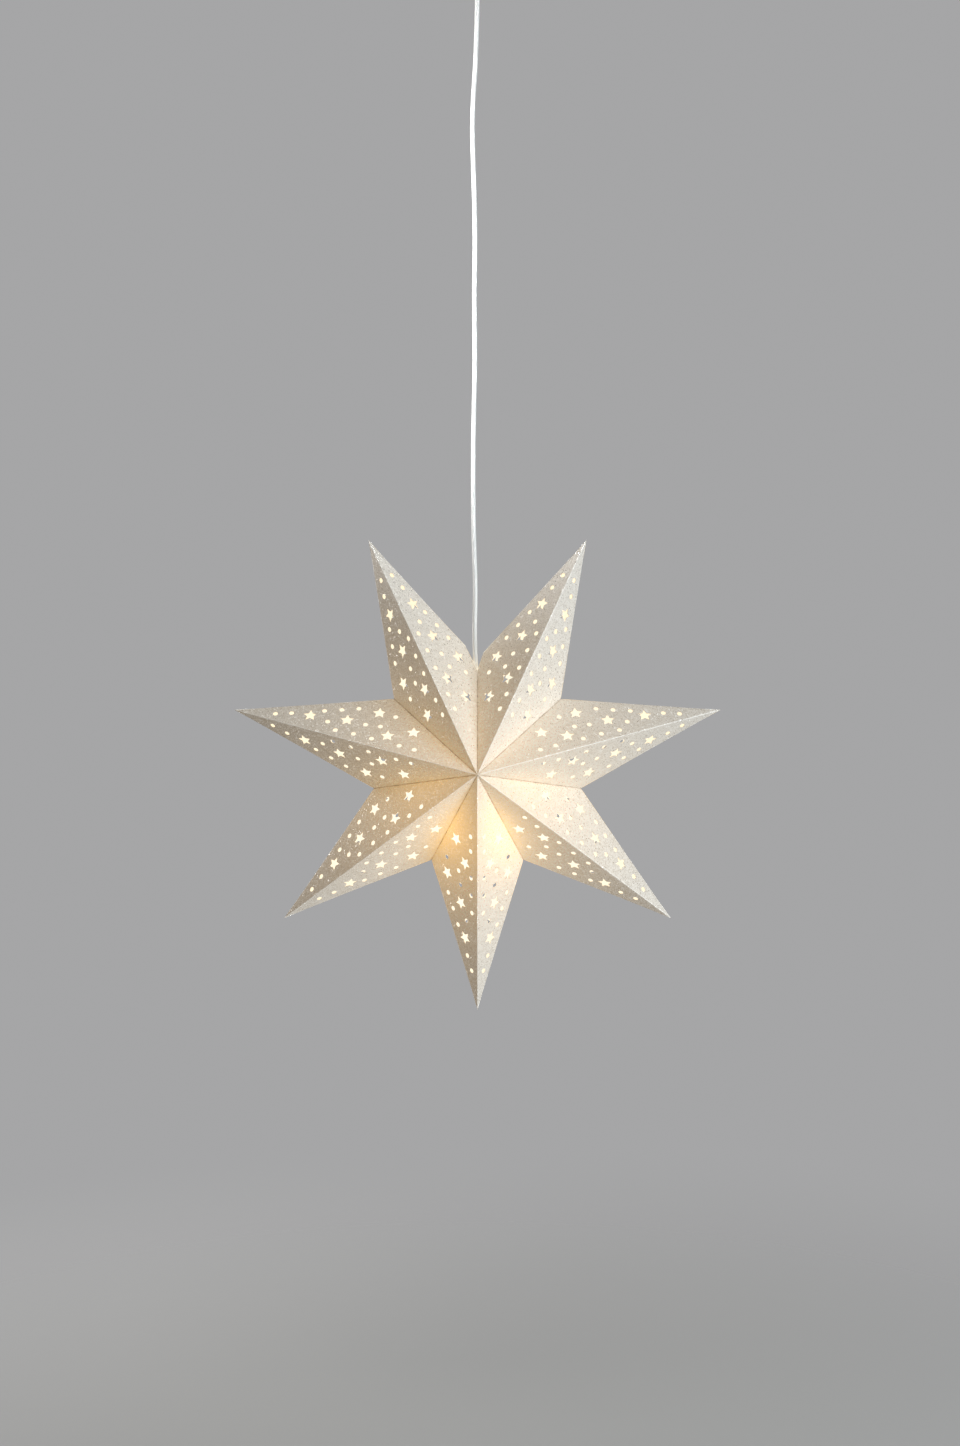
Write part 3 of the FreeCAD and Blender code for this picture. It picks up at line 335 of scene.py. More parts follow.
def glitter_card():
    """The card's outer side: warm white with fine silver flakes, and lamp light coming through it."""
    _, colours, light = settings()
    make = Recipe("glitter_card")
    cells = make.cells(CELLS_PER_METRE)
    draw, tone, _ = make.split("Color", cells)
    flake = make.math("GREATER_THAN", draw, 1 - FLAKE_SHARE)
    speck = make.math("GREATER_THAN", SPECK_SHARE, draw)
    fibres = make.noise(420.0, detail=5.0, roughness=0.65)
    clouds = make.noise(22.0, detail=2.0)
    grit = make.range(make.noise(480.0, detail=2.0, roughness=0.7), (0.36, 0.64))
    fold = make.node("Attribute", attribute_name="fold").outputs["Fac"]
    valley = make.node("Attribute", attribute_name="valley").outputs["Fac"]
    coats = (
        (make.range(clouds, (0.3, 0.7), (0.0, 0.25)), shade(colours.card, 0.93)),
        (make.times(fibres, 0.18), shade(colours.card, 0.80)),
        (make.times(grit, 0.32), GRIT_TINT),
        (make.times(speck, 0.34), SPECK_TINT),
        (make.times(flake, 0.75), colours.glitter),
        # whiter along the ridges and outer folds: creased card, plus a painted highlight
        (make.range(fold, (0.1, 0.6), (0.0, 0.95)), RIDGE_WHITE_AND_HIGHLIGHT),
        # darker along the valleys: the glue line, plus painted shade in the crease
        (make.times(valley, 0.85), colours.valley),
    )
    base = colours.card
    for share, tint in coats:
        base = make.mix(share, base, tint)
    lean = make.vector("SUBTRACT", cells, (0.5, 0.5, 0.5))
    lean = make.vector("SCALE", lean, Scale=make.times(flake, FLAKE_LEAN))
    relief = make.bump(make.math("ADD", fibres, make.times(flake, 0.6)), CARD_RELIEF, 0.5)
    through, straight = lamp_light(make, light.glow * STRAIGHT_GLOW, light.glow)
    through = make.times(through, make.range(fibres, (0.2, 0.8), (0.86, 1.12)))
    through = make.times(through, make.range(valley, (0.0, 1.0), (1.0, 0.35)))
    return make.surface(
        Base_Color=base, Metallic=make.times(flake, 0.5),
        Roughness=make.math("SUBTRACT", CARD_ROUGHNESS, make.times(flake, make.times(tone, 0.4))),
        Normal=make.vector("NORMALIZE", make.vector("ADD", relief, lean)),
        Emission_Color=make.mix(straight, colours.glow, colours.ember), Emission_Strength=through)


def lit_card():
    """The card's inner side, lit by the bulb."""
    _, colours, light = settings()
    make = Recipe("lit_card")
    fibres = make.noise(300.0, detail=4.0)
    far = make.range(make.from_bulb(), INSIDE_FAR)
    # the inner side's base colour is the card with painted shade, darker than the outer side
    return make.surface(
        Base_Color=INNER_SHADED_TINT, Roughness=0.7, Normal=make.bump(fibres, CARD_RELIEF, 0.4),
        Emission_Color=make.mix(far, colours.bulb, colours.inside),
        Emission_Strength=make.times(light.inside, make.range(fibres, (0.2, 0.8), (0.94, 1.04))))


def card_edge():
    """The cut edge of the card, warm from the light inside."""
    _, colours, light = settings()
    make = Recipe("card_edge")
    layers = make.noise(2600.0, detail=2.0)
    glow, _ = lamp_light(make, light.glow * EDGE_STRAIGHT, light.glow * EDGE_BOUNCED)
    return make.surface(Base_Color=make.mix(layers, *EDGE_TINTS), Roughness=0.85,
                        Emission_Color=colours.glow, Emission_Strength=glow)


def metal(name, tint, roughness, grain=900.0, depth=0.06, spangle=0.0):
    """A metal with a fine grain, and zinc spangle where asked."""
    make = Recipe(name)
    lines = make.noise(grain, detail=4.0, roughness=0.6)
    wear = make.noise(70.0)
    base = make.mix(make.range(wear, (0.35, 0.7), (0.0, 0.5)), tint, shade(tint, 0.78))
    if spangle:
        grey, *_ = make.split("Color", make.cells(260.0))
        base = make.mix(make.times(grey, spangle), base, shade(tint, 1.3))
    rough = make.range(lines, (0.2, 0.8), (roughness * 0.8, roughness * 1.25))
    return make.surface(Base_Color=base, Metallic=1.0, Roughness=rough,
                        Normal=make.bump(lines, FINE_RELIEF, depth))


def moulded(name, tint, roughness, dust=0.05, coat=0.0):
    """A moulded plastic, rubber or ceramic: faint flow marks, fine orange peel and a trace of dust."""
    make = Recipe(name)
    peel = make.noise(1400.0, detail=2.0)
    flow = make.noise(28.0)
    base = make.mix(make.range(flow, (0.35, 0.7), (0.0, dust)), tint, shade(tint, 0.72))
    rough = make.range(peel, (0.2, 0.8), (roughness * 0.9, roughness * 1.15))
    return make.surface(Base_Color=base, Roughness=rough, Coat_Weight=coat, Coat_Roughness=0.15,
                        Normal=make.bump(peel, FINE_RELIEF, 0.25))


def core_insulation():
    """Two cores in one node: brown on one side of the lamp's middle plane, blue on the other.

    They lie side by side along Y in the ceiling fitting and along X in the lamp holder.
    """
    make = Recipe("core_insulation")
    x, y, z = make.split("XYZ", make.place())
    above = make.math("GREATER_THAN", z, CENTRE.z / 2)
    side = make.math("ADD", make.times(y, above), make.times(x, make.math("SUBTRACT", 1.0, above)))
    tint = make.mix(make.math("GREATER_THAN", side, 0.0), BROWN, BLUE)
    return make.surface(Base_Color=make.mix(make.times(make.noise(900.0), 0.2), tint, GREY), Roughness=0.45)


def frosted_bulb():
    """The frosted glass: its ball is bright all over, its neck dimmer."""
    _, colours, light = settings()
    make = Recipe("frosted_bulb")
    body = make.range(make.from_bulb(), (BULB_RADIUS, BULB_RADIUS * NECK_FAR), (1.0, NECK_GLOW))
    frost = make.noise(2000.0, detail=2.0)
    glow = make.times(make.times(body, light.bulb), make.range(frost, (0.0, 1.0), (0.95, 1.05)))
    return make.surface(Base_Color=(0.93, 0.90, 0.84), Roughness=0.5, Emission_Color=colours.bulb,
                        Emission_Strength=glow, Normal=make.bump(frost, FINE_RELIEF, 0.3))


def hot_filament():
    """The glowing wire."""
    make = Recipe("hot_filament")
    glow = make.range(make.noise(5000.0, detail=1.0), (0.0, 1.0), (20.0, 30.0))
    return make.surface(Base_Color=(0.4, 0.35, 0.3), Metallic=1.0, Roughness=0.4,
                        Emission_Color=(1.0, 0.62, 0.25), Emission_Strength=glow)


def lamp_glass(name, tint):
    """The glass of a bulb's foot or insulator: smooth, and not seen through."""
    make = Recipe(name)
    seeds = make.noise(600.0, detail=2.0)
    return make.surface(Base_Color=make.mix(make.times(seeds, 0.15), tint, shade(tint, 0.8)),
                        Roughness=make.range(seeds, (0.0, 1.0), (0.06, 0.14)), IOR=1.5)


def smooth_cord():
    """White PVC: smooth, with faint waves from the twisted cores under it and some handling marks."""
    _, colours, _ = settings()
    make = Recipe("cord_sheath")
    x, y, z = make.split("XYZ", make.place())
    turn = make.math("ARCTAN2", y, x)
    wave = make.math("SINE", make.math("ADD", make.times(z, 2 * math.pi / CORE_TWIST), make.times(turn, 2.0)))
    marks = make.noise(160.0, detail=4.0)
    base = make.mix(make.range(marks, (0.55, 0.8), (0.0, 0.22)), colours.plastic, shade(colours.plastic, 0.8))
    height = make.math("ADD", make.times(wave, 0.5), make.times(marks, 0.3))
    return make.surface(Base_Color=base, Roughness=make.range(marks, (0.3, 0.7), (0.30, 0.42)),
                        Normal=make.bump(height, SHEATH_RELIEF, 0.5))


def dress(material, *nodes):
    """Give carried-over nodes of the model their finish."""
    for name in nodes:
        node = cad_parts[name]
        if not node.material_slots:
            node.data.materials.append(material)
        for slot in node.material_slots:
            slot.material = material


# ---- the star's card ------------------------------------------------------------------------------------
def on_star(radius, angle):
    """A point in the star's middle plane about its own centre, with the angle from straight down to +X."""
    return Vector((radius * math.sin(angle), 0, -radius * math.cos(angle)))


TIP = on_star(TIP_RADIUS, 0.0)
NOTCHES = on_star(NOTCH_RADIUS, -HALF_SECTOR), on_star(NOTCH_RADIUS, HALF_SECTOR)
APEXES = Vector((0, -HALF_DEPTH, 0)), Vector((0, HALF_DEPTH, 0))
TOP_NOTCH = Vector((0, 0, NOTCH_RADIUS))


def stations(start, end, step):
    """Evenly spaced points from start up to end, without the end."""
    count = max(1, round((end - start).length / step))
    return [start.lerp(end, index / count) for index in range(count)]


def held(value):
    """A number held between 0 and 1."""
    return max(0.0, min(1.0, value))


class Facet:
    """The flat pattern of one facet, in metres: x along the ridge from the apex, y towards the notch."""

    STEP = 6.5 * MM               # between the pattern's points
    FOLD_ROWS = 3                 # rows of points over the rounding of a fold
    ROW = 0.866                   # from one inner row to the next, over the step
    FIRST_ROW = 0.6               # from the ridge to the first inner row, over a row
    EDGE_GAP = 0.4                # no inner point lies this near to a rounding, over the step
    HOLE_GAP = 0.36               # nor this near to a hole's corner
    HOLE_REACH = 2.2              # a hole lies within this of its first corner, over the cut star's radius

    def __init__(self, sizes, shift=0.0):
        self.sizes = sizes
        ridge = TIP - APEXES[0]
        side = NOTCHES[1] - APEXES[0]
        notch_x = side.dot(ridge.normalized())
        self.corners = [Vector((0, 0)), Vector((ridge.length, 0)),
                        Vector((notch_x, math.sqrt(side.length_squared - notch_x ** 2)))]
        self.points, self.lines = [], []
        self.holes = [self.ring(x + shift, y, [sizes.dot / 2], DOT_SIDES) for x, y in DOTS]
        self.holes += [self.ring(x + shift, y, [sizes.cut_star, sizes.cut_star_waist], 2 * CUT_STAR_ARMS)
                       for x, y in CUT_STARS]
        self.triangles = self.fill()

    @staticmethod
    def ring(x, y, radii, count):
        """The outline of one hole about a place given in millimetres."""
        outline = []
        for index in range(count):
            turn = 2 * math.pi * index / count
            radius = radii[index % len(radii)]
            outline.append(Vector((x * MM + radius * math.cos(turn), y * MM + radius * math.sin(turn))))
        return outline

    def edges_from(self, point):
        """Distances of a point from the ridge, the outer fold and the valley."""
        apex, tip, notch = self.corners
        result = []
        for start, end in ((apex, tip), (tip, notch), (notch, apex)):
            line = end - start
            result.append(line.cross(point - start) / line.length)
        return result

    def heights(self):
        """The greatest of those distances, each at the corner across from its edge."""
        apex, tip, notch = self.corners
        return [self.edges_from(corner)[edge] for edge, corner in enumerate((notch, apex, tip))]

    def inner_corners(self, inset):
        """The facet's corners, moved in by a distance from all three edges."""
        apex, tip, notch = self.corners
        lengths = [(tip - notch).length, (notch - apex).length, (apex - tip).length]
        centre = (apex * lengths[0] + tip * lengths[1] + notch * lengths[2]) / sum(lengths)
        inradius = self.edges_from(centre)[0]
        return [centre.lerp(corner, 1 - inset / inradius) for corner in self.corners]

    def loop(self, points):
        """Add a closed line to the pattern."""
        first = len(self.points)
        self.points += points
        self.lines += [(first + i, first + (i + 1) % len(points)) for i in range(len(points))]

    def fill(self):
        """Triangles over the pattern, with the holes left open."""
        for row in range(self.FOLD_ROWS + 1):
            corners = self.inner_corners(self.sizes.fold * (row / self.FOLD_ROWS))
            outline = []
            for start, end in zip(corners, corners[1:] + corners[:1]):
                outline += stations(start, end, self.STEP)
            self.loop(outline)
        for hole in self.holes:
            self.loop(hole)
        self.points += self.inner_points()
        flat, _, faces, *_ = delaunay_2d_cdt(self.points, self.lines, [], 0, ON_PATTERN)
        self.points = [Vector(point) for point in flat]
        middles = [sum((self.points[i] for i in face), Vector((0, 0))) / 3 for face in faces]
        return [face for face, middle in zip(faces, middles) if not self.in_hole(middle)]

    def inner_points(self):
        """Points in even rows, clear of the folds and the holes."""
        corners = [corner for hole in self.holes for corner in hole]
        result = []
        for row in range(math.ceil(self.corners[2].y / (self.STEP * self.ROW))):
            for column in range(math.ceil(self.corners[1].x / self.STEP)):
                point = Vector(((column + 0.5 * (row % 2)) * self.STEP,
                                (row + self.FIRST_ROW) * self.STEP * self.ROW))
                if min(self.edges_from(point)) < self.sizes.fold + self.EDGE_GAP * self.STEP:
                    continue
                if self.in_hole(point):
                    continue
                if min((point - corner).length for corner in corners) > self.HOLE_GAP * self.STEP:
                    result.append(point)
        return result

    def in_hole(self, point):
        """Whether a place lies inside a hole."""
        for hole in self.holes:
            if (point - hole[0]).length > self.HOLE_REACH * self.sizes.cut_star:
                continue
            inside = False
            for a, b in zip(hole, hole[1:] + hole[:1]):
                if (a.y > point.y) != (b.y > point.y):
                    inside ^= point.x < (b.x - a.x) * (point.y - a.y) / (b.y - a.y) + a.x
            if inside:
                return True
        return False


def facet_normal(apex, notch):
    """The outward normal of a facet of the point that hangs straight down."""
    normal = (TIP - apex).cross(notch - apex).normalized()
    return normal if normal.dot(apex) > 0 else -normal


def add_facet(bm, layers, facet, apex, notch, partners, seed):
    """Lay the pattern out in space: flat but for a slight bow, and rounded into its two folds."""
    fold_layer, valley_layer = layers
    fold = facet.sizes.fold
    along = (TIP - apex).normalized()
    off = notch - apex
    off = (off - along * off.dot(along)).normalized()
    normal = along.cross(off).normalized()
    if normal.dot(apex) < 0:
        normal.negate()
    heights = facet.heights()
    bow = facet.sizes.bow * noise.noise(Vector((seed * DRAW_STEP, 0.5, 0.5))) * BOW_DRAW
    verts = []
    for point in facet.points:
        ridge, outer, valley = distances = facet.edges_from(point)
        place = apex + along * point.x + off * point.y
        shares = [max(0.0, distance / height) for distance, height in zip(distances, heights)]
        wave = noise.noise(place * WAVES_PER_METRE + Vector((seed, 0, 0))) * WAVE_DRAW * facet.sizes.bow
        place += normal * (MIDDLE * (bow + wave) * math.prod(shares))
        for distance, other, partner in ((ridge, outer, partners[0]), (outer, ridge, partners[1])):
            if distance < fold:
                between = (normal + partner).normalized()
                sine = math.sqrt(max(0.0, 1 - normal.dot(between) ** 2))
                fade = held(other / fold) * held(valley / fold)
                place -= between * (fade * fold * sine / 2 * (1 - max(0.0, distance) / fold) ** 2)
        vert = bm.verts.new(place)
        vert[fold_layer] = max(0.0, 1 - min(ridge, outer) / fold)
        vert[valley_layer] = max(0.0, 1 - valley / fold)
        verts.append(vert)
    first, second, third = (facet.points[i] for i in facet.triangles[0])
    flip = ((second - first).cross(third - first) > 0) != (normal.dot(along.cross(off)) > 0)
    for face in facet.triangles:
        corners = [verts[i] for i in face]
        bm.faces.new(reversed(corners) if flip else corners)


def add_flap(bm, facet, apex, notch):
    """The glue flap along one valley, in the plane where two points meet.

    Its inner edge is the valley, drawn in towards the star's centre.
    """
    shrink = facet.sizes.flap / (HALF_DEPTH * NOTCH_RADIUS / math.hypot(HALF_DEPTH, NOTCH_RADIUS))
    valley = stations(notch, apex, facet.STEP) + [apex]
    rows = [[bm.verts.new(point * (1 - shrink * share)) for point in valley] for share in (0.0, 0.5, 1.0)]
    for low, high in zip(rows, rows[1:]):
        for i in range(len(valley) - 1):
            face = bm.faces.new((low[i], low[i + 1], high[i + 1], high[i]))
            face.normal_update()
            if face.normal.x * notch.x < 0:
                face.normal_flip()


def thicken(bm, thickness):
    """Give an open sheet its thickness inwards. Outer side, inner side and cut edges: materials 0, 1, 2."""
    bm.normal_update()
    outer_faces = list(bm.faces)
    inner = {}
    for vert in list(bm.verts):
        depth = thickness * min(vert.calc_shell_factor(), MITRE)
        inner[vert] = bm.verts.new(vert.co - vert.normal * depth)
    rims = [(edge.link_loops[0].vert, edge.link_loops[0].link_loop_next.vert)
            for edge in bm.edges if len(edge.link_faces) == 1]
    for face in outer_faces:
        made = bm.faces.new([inner[vert] for vert in reversed(face.verts)])
        made.material_index = 1
    for start, end in rims:
        made = bm.faces.new((end, start, inner[start], inner[end]))
        made.material_index = 2


def cut(bm, faces, place, direction, drop=False):
    """Cut faces by a plane, and drop what lies on the direction's side where asked."""
    edges = dict.fromkeys(edge for face in faces for edge in face.edges)
    verts = dict.fromkeys(vert for face in faces for vert in face.verts)
    bmesh.ops.bisect_plane(bm, geom=[*faces, *edges, *verts], plane_co=place, plane_no=direction, dist=ON_CUT,
                           clear_outer=drop)


def top_flaps(bm):
    """The faces of the flaps that meet in the star's middle, near the top notch."""
    return [face for face in bm.faces
            if all(abs(vert.co.x) < IN_PLANE and vert.co.z > TOP_PART * NOTCH_RADIUS for vert in face.verts)]


def open_for_cord(bm, side):
    """Trim the corner at the top notch, and clear the flaps round the cord. Side is 1 for the right point."""
    low = TOP_NOTCH - Vector((0, 0, TRIM_DOWN))
    tip = on_star(TIP_RADIUS, math.pi - side * HALF_SECTOR)
    high = TOP_NOTCH + (tip - TOP_NOTCH).normalized() * (TRIM_RIGHT if side > 0 else TRIM_LEFT)
    line = high - low
    cut(bm, list(bm.faces), low, Vector((-line.z, 0, line.x)) * side, drop=True)
    radius = CORD_OPENING / 2
    for y in (-radius, radius):
        cut(bm, top_flaps(bm), Vector((0, y, 0)), Vector((0, 1, 0)))
    near = [face for face in top_flaps(bm) if all(abs(vert.co.y) < radius + ON_CUT for vert in face.verts)]
    bmesh.ops.delete(bm, geom=near, context="FACES")


def star_point(index, facets, materials):
    """One folded sheet: four facets, four flaps and the card's thickness."""
    bm = bmesh.new()
    layers = bm.verts.layers.float.new("fold"), bm.verts.layers.float.new("valley")
    for a, apex in enumerate(APEXES):
        for b, notch in enumerate(NOTCHES):
            partners = facet_normal(apex, NOTCHES[1 - b]), facet_normal(APEXES[1 - a], notch)
            seed = SEEDS_PER_POINT * index + 4 * a + 2 * b + 1
            add_facet(bm, layers, facets[a], apex, notch, partners, seed)
            add_flap(bm, facets[a], apex, notch)
    bmesh.ops.remove_doubles(bm, verts=bm.verts, dist=SAME_PLACE)
    turn = Matrix.Rotation(-2 * math.pi * index / POINT_COUNT, 4, "Y")
    bmesh.ops.transform(bm, matrix=turn, verts=bm.verts)
    last_right = POINT_COUNT // 2
    if index in (last_right, last_right + 1):
        open_for_cord(bm, 1 if index == last_right else -1)
    thicken(bm, facets[0].sizes.card)
    bmesh.ops.translate(bm, vec=CENTRE, verts=bm.verts)
    name = "star_point_%d" % (index + 1)
    piece = mesh_piece("card_" + name, bm, materials)
    piece.data.set_sharp_from_angle(angle=CARD_SHARP)
    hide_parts(name)
    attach(piece, "paper_star")


def mesh_piece(name, bm, materials):
    """Turn a bmesh into a smooth-shaded object in the scene."""
    mesh = bpy.data.meshes.new(name)
    bm.to_mesh(mesh)
    bm.free()
    mesh.shade_smooth()
    for material in materials:
        mesh.materials.append(material)
    piece = bpy.data.objects.new(name, mesh)
    bpy.context.scene.collection.objects.link(piece)
    return piece


# ---- cord -----------------------------------------------------------------------------------------------
def cord_line():
    """Points along the cord's smooth line, read from a curve through its route."""
    curve = bpy.data.curves.new("cord_route", "CURVE")
    curve.dimensions = "3D"
    curve.resolution_u = CORD_STEPS
    spline = curve.splines.new("NURBS")
    route = [CORD_EXIT] + [CENTRE + Vector(point) * MM for point in CORD_ROUTE] + [CORD_END]
    spline.points.add(len(route) - 1)
    for control, place in zip(spline.points, route):
        control.co = (*place, 1.0)
    spline.order_u = 3
    spline.use_endpoint_u = True
    holder = bpy.data.objects.new("cord_route", curve)
    bpy.context.scene.collection.objects.link(holder)
    line = bpy.data.meshes.new_from_object(holder)
    points = [vert.co.copy() for vert in line.vertices]
    bpy.data.objects.remove(holder)
    bpy.data.curves.remove(curve)
    bpy.data.meshes.remove(line)
    return points if points[0].z > points[-1].z else points[::-1]


def tube_mesh(points, radius, sides):
    """A round tube along a line, closed at both ends."""
    bm = bmesh.new()
    turns = [2 * math.pi * side / sides for side in range(sides)]
    rings = []
    for i, place in enumerate(points):
        along = (points[min(i + 1, len(points) - 1)] - points[max(i - 1, 0)]).normalized()
        across = along.cross(Vector((0, 1, 0))).normalized()
        other = along.cross(across)
        rings.append([bm.verts.new(place + (across * math.cos(turn) + other * math.sin(turn)) * radius)
                      for turn in turns])
    for low, high in zip(rings, rings[1:]):
        for k in range(sides):
            bm.faces.new((low[k], low[(k + 1) % sides], high[(k + 1) % sides], high[k]))
    bm.faces.new(rings[0][::-1])
    bm.faces.new(rings[-1])
    bmesh.ops.recalc_face_normals(bm, faces=bm.faces)
    return bm


# ---- operators ------------------------------------------------------------------------------------------
class STARLAMP_OT_stage(bpy.types.Operator):
    """Camera, soft studio lights, floor and background"""

    bl_idname = "starlamp.stage"
    bl_label = "Stage"

    # Each lamp's setting, its aim over the star's centre, the way from there to it, side, spread and tint.
    LAMPS = (
        ("key", 0.0, (2.3, -1.9, 0.1), 1.6, 180, (0.90, 0.97, 1.0)),
        ("top", 0.0, (0.0, -1.8, 2.4), 1.6, 180, (1.0, 0.97, 0.90)),
        ("back", 0.0, (-1.7, 2.0, 0.5), 2.4, 180, (1.0, 0.98, 0.95)),
        ("cord", 0.60, (-1.0, -1.3, 0.30), 0.2, 26, (1.0, 1.0, 1.0)),
    )
    FLOOR_DROP = 0.62             # the floor lies this far below the lowest tip
    FLOOR_RADIUS = 1.7
    FLOOR_SIDES = 96
    FADE = (0.3, 1.6)             # the floor turns into the background between these distances

    def execute(self, context):
        _, colours, light = settings()
        self.camera(context)
        for name, height, away, side, spread, tint in self.LAMPS:
            self.lamp(name, CENTRE + Vector((0, 0, height)), Vector(away), side, spread, tint,
                      getattr(light, name))
        self.world(context, colours.backdrop, light.sky)
        self.floor(colours.floor)
        context.scene.view_settings.view_transform = "Standard"
        return {"FINISHED"}

    @staticmethod
    def camera(context):
        """The photograph's viewpoint: level with the star's top, looking slightly down."""
        lens = bpy.data.cameras.new("camera")
        lens.lens = CAMERA_LENS
        lens.sensor_width = CAMERA_SENSOR
        camera = bpy.data.objects.new("camera", lens)
        context.scene.collection.objects.link(camera)
        back = Vector((0, -math.cos(CAMERA_ELEVATION), math.sin(CAMERA_ELEVATION)))
        camera.location = CAMERA_AIM + back * CAMERA_DISTANCE
        camera.rotation_euler = (-back).to_track_quat("-Z", "Y").to_euler()
        context.scene.camera = camera

    @staticmethod
    def lamp(name, aim, away, side, spread, tint, power):
        """A square light that looks at a point from a distance away from it, spreading by so many degrees."""
        data = bpy.data.lights.new(name, "AREA")
        data.shape = "SQUARE"
        data.size = side
        data.spread = math.radians(spread)
        data.energy = power
        data.color = tint
        lamp = bpy.data.objects.new(name, data)
        lamp.location = aim + away
        lamp.rotation_euler = (-away).to_track_quat("-Z", "Y").to_euler()
        bpy.context.scene.collection.objects.link(lamp)

    @staticmethod
    def world(context, tint, sky):
        """Even light, with the plain background where the camera or a reflection sees it."""
        world = bpy.data.worlds.new("studio")
        context.scene.world = world
        world.use_nodes = True
        nodes, link = world.node_tree.nodes, world.node_tree.links.new
        nodes.clear()
        path = nodes.new("ShaderNodeLightPath")
        seen = path.outputs["Is Camera Ray"]
        for ray in ("Is Glossy Ray", "Is Transmission Ray"):
            either = nodes.new("ShaderNodeMath")
            either.operation = "MAXIMUM"
            link(seen, either.inputs[0])
            link(path.outputs[ray], either.inputs[1])
            seen = either.outputs[0]
        even, plain = nodes.new("ShaderNodeBackground"), nodes.new("ShaderNodeBackground")
        even.inputs["Strength"].default_value = sky
        plain.inputs["Color"].default_value = (*tint, 1.0)
        mix = nodes.new("ShaderNodeMixShader")
        for socket, source in zip(mix.inputs, (seen, even.outputs[0], plain.outputs[0])):
            link(source, socket)
        link(mix.outputs[0], nodes.new("ShaderNodeOutputWorld").inputs["Surface"])

    def floor(self, tint):
        """A round floor that fades into the background."""
        bm = bmesh.new()
        bmesh.ops.create_circle(bm, cap_ends=True, segments=self.FLOOR_SIDES, radius=self.FLOOR_RADIUS)
        bmesh.ops.translate(bm, vec=Vector((0, 0, LOWEST.z - self.FLOOR_DROP)), verts=bm.verts)
        make = Recipe("studio_floor")
        x, y, _ = make.split("XYZ", make.place())
        flat = make.node("CombineXYZ", {0: x, 1: y}).outputs[0]
        fade = make.range(make.vector("LENGTH", flat), self.FADE)
        grain = make.mix(make.times(make.noise(3.0), 0.06), tint, shade(tint, 0.8))
        solid = make.node("BsdfDiffuse", {"Color": grain})
        clear = make.node("BsdfTransparent")
        both = make.node("MixShader", {0: fade, 1: solid.outputs[0], 2: clear.outputs[0]})
        make.node("OutputMaterial", {"Surface": both.outputs[0]})
        mesh_piece("studio_floor", bm, [make.material])


class STARLAMP_OT_cord(bpy.types.Operator):
    """White cord from the ceiling fitting down into the lamp holder"""

    bl_idname = "starlamp.cord"
    bl_label = "Cord"

    def execute(self, context):
        sizes, _, _ = settings()
        sheath = smooth_cord()
        points = cord_line()
        cord = mesh_piece("hanging_cord", tube_mesh(points, sizes.cord / 2, CORD_SIDES), [sheath])
        cord.data.set_sharp_from_angle(angle=CORD_SHARP)
        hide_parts("cord")
        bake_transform(cord)
        dress(sheath, "cord_lead", "cord_tail")
        return {"FINISHED"}


class STARLAMP_OT_star_points(bpy.types.Operator):
    """Seven folded and punched sheets of glitter card"""

    bl_idname = "starlamp.star_points"
    bl_label = "Star points"

    def execute(self, context):
        sizes, _, _ = settings()
        facets = Facet(sizes), Facet(sizes, BACK_SHIFT)
        materials = glitter_card(), lit_card(), card_edge()
        for index in range(POINT_COUNT):
            star_point(index, facets, materials)
        return {"FINISHED"}


class STARLAMP_OT_closing_joint(bpy.types.Operator):
    """Eyelets, paper fasteners and the wire bail"""

    bl_idname = "starlamp.closing_joint"
    bl_label = "Closing joint"

    def execute(self, context):
        dress(metal("pressed_brass", (0.78, 0.60, 0.30), 0.30), "star_eyelets", "closing_fasteners")
        dress(metal("drawn_wire", (0.66, 0.66, 0.65), 0.25, grain=1600.0, depth=0.1), "wire_bail")
        return {"FINISHED"}


class STARLAMP_OT_lamp_holder(bpy.types.Operator):
    """Lamp holder with its insert, contacts, screws and cores"""

    bl_idname = "starlamp.lamp_holder"
    bl_label = "Lamp holder"

    def execute(self, context):
        _, colours, _ = settings()
        dress(moulded("holder_plastic", colours.plastic, 0.42), "socket_cap", "socket_shell")
        dress(moulded("insert_ceramic", (0.82, 0.80, 0.75), 0.55, dust=0.15), "socket_insert")
        dress(metal("contact_brass", (0.74, 0.57, 0.28), 0.32),
              "screw_shell", "centre_contact", "socket_terminals")
        dress(metal("screw_zinc", (0.66, 0.66, 0.66), 0.34), "socket_terminal_screws", "cord_grip_screw")
        dress(core_insulation(), "holder_cores", "ceiling_cores")
        return {"FINISHED"}


class STARLAMP_OT_bulb(bpy.types.Operator):
    """Lit frosted bulb"""

    bl_idname = "starlamp.bulb"
    bl_label = "Bulb"

    def execute(self, context):
        dress(frosted_bulb(), "bulb_glass")
        dress(metal("cap_nickel", (0.74, 0.72, 0.68), 0.22), "bulb_cap", "bulb_contact")
        dress(lamp_glass("black_glass", (0.02, 0.02, 0.025)), "bulb_insulator")
        dress(lamp_glass("stem_glass", (0.80, 0.84, 0.83)), "bulb_stem")
        dress(hot_filament(), "bulb_filament")
        return {"FINISHED"}


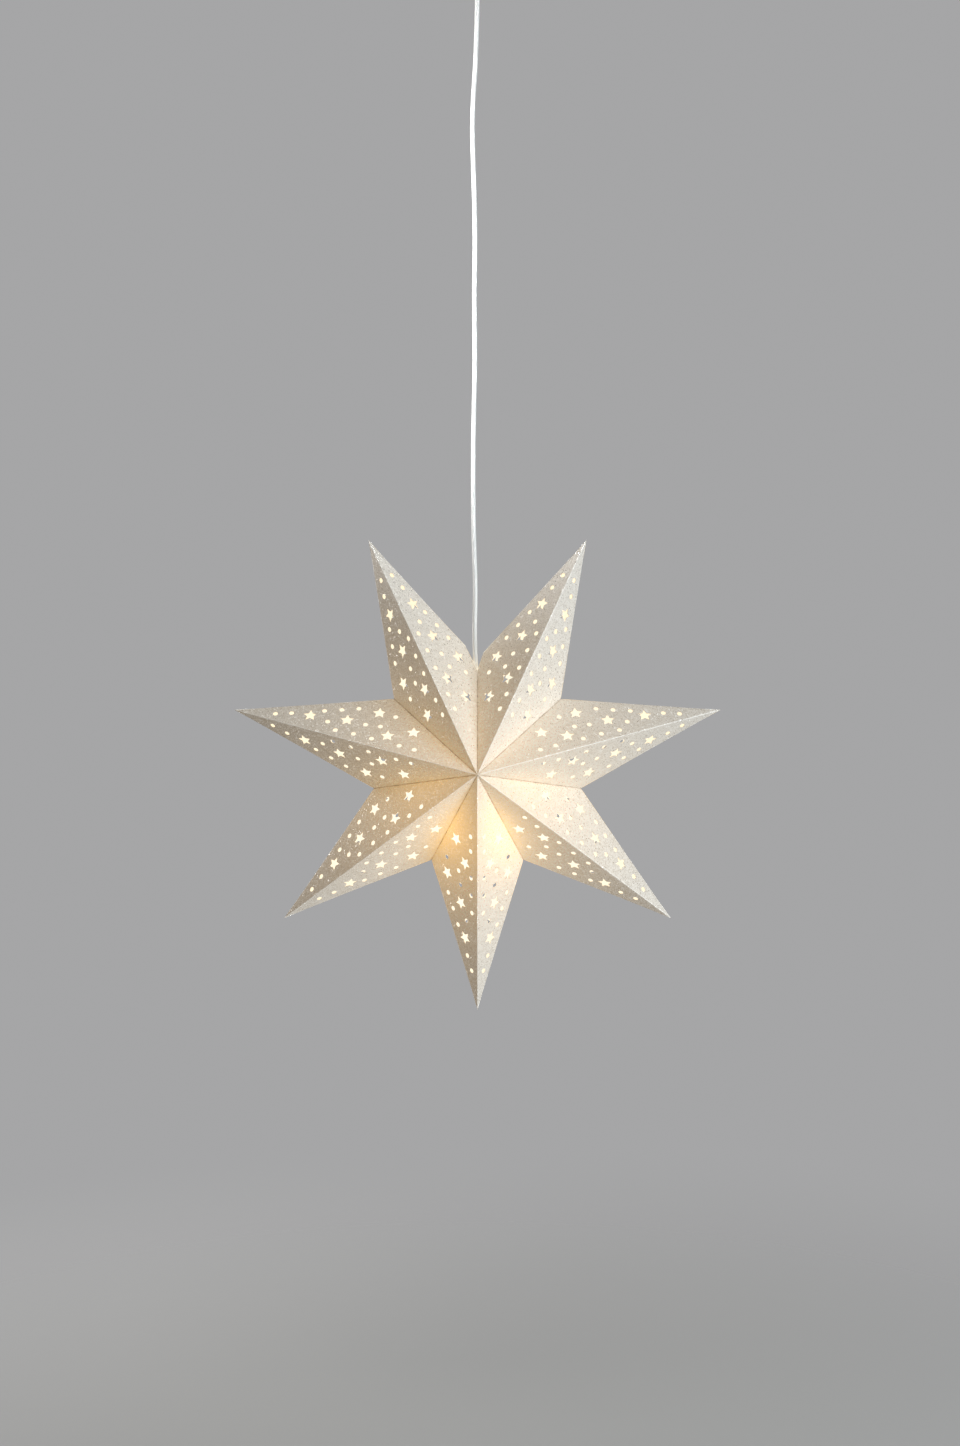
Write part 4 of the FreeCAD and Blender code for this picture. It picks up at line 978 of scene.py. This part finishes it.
class STARLAMP_OT_ceiling_fitting(bpy.types.Operator):
    """Ceiling plate, hook, cord hanger, terminals and canopy"""

    bl_idname = "starlamp.ceiling_fitting"
    bl_label = "Ceiling fitting"

    def execute(self, context):
        _, colours, _ = settings()
        dress(moulded("canopy_plastic", colours.plastic, 0.34, coat=0.2), "canopy_cup")
        dress(moulded("grommet_rubber", shade(colours.plastic, 0.86), 0.75), "canopy_grommet")
        dress(metal("plate_zinc", (0.64, 0.64, 0.64), 0.42, spangle=0.5), "ceiling_plate", "ceiling_hook")
        dress(moulded("hanger_nylon", (0.74, 0.73, 0.68), 0.5), "cord_hanger", "terminal_block")
        dress(metal("terminal_brass", (0.76, 0.58, 0.28), 0.30), "terminal_tubes")
        dress(metal("terminal_steel", (0.68, 0.68, 0.68), 0.30), "terminal_screws", "hanger_screw")
        return {"FINISHED"}


class STARLAMP_PT_panel(bpy.types.Panel):
    """The lamp's settings and the steps that build it"""

    bl_idname = "STARLAMP_PT_panel"
    bl_label = "Star lamp"
    bl_space_type = "VIEW_3D"
    bl_region_type = "UI"
    bl_category = "Star lamp"

    def draw(self, context):
        for group in settings():
            column = self.layout.column(align=True)
            for name in group.__annotations__:
                column.prop(group, name)
        for step in STEPS:
            self.layout.operator(step.bl_idname)


STEPS = (STARLAMP_OT_stage, STARLAMP_OT_cord, STARLAMP_OT_star_points, STARLAMP_OT_closing_joint,
         STARLAMP_OT_lamp_holder, STARLAMP_OT_bulb, STARLAMP_OT_ceiling_fitting)
GROUPS = (("star_lamp_sizes", StarLampSizes), ("star_lamp_colours", StarLampColours),
          ("star_lamp_light", StarLampLight))


def register():
    """Register the settings, the steps and the panel."""
    for name, group in GROUPS:
        bpy.utils.register_class(group)
        setattr(bpy.types.Scene, name, bpy.props.PointerProperty(type=group))
    for step in STEPS:
        bpy.utils.register_class(step)
    bpy.utils.register_class(STARLAMP_PT_panel)


def unregister():
    """Take them away again."""
    bpy.utils.unregister_class(STARLAMP_PT_panel)
    for step in reversed(STEPS):
        bpy.utils.unregister_class(step)
    for name, group in reversed(GROUPS):
        delattr(bpy.types.Scene, name)
        bpy.utils.unregister_class(group)


def main():
    """Build the lamp step by step."""
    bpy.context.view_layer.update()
    register()
    for step in STEPS:
        group, name = step.bl_idname.split(".")
        getattr(getattr(bpy.ops, group), name)()


if __name__ == "__main__":
    main()
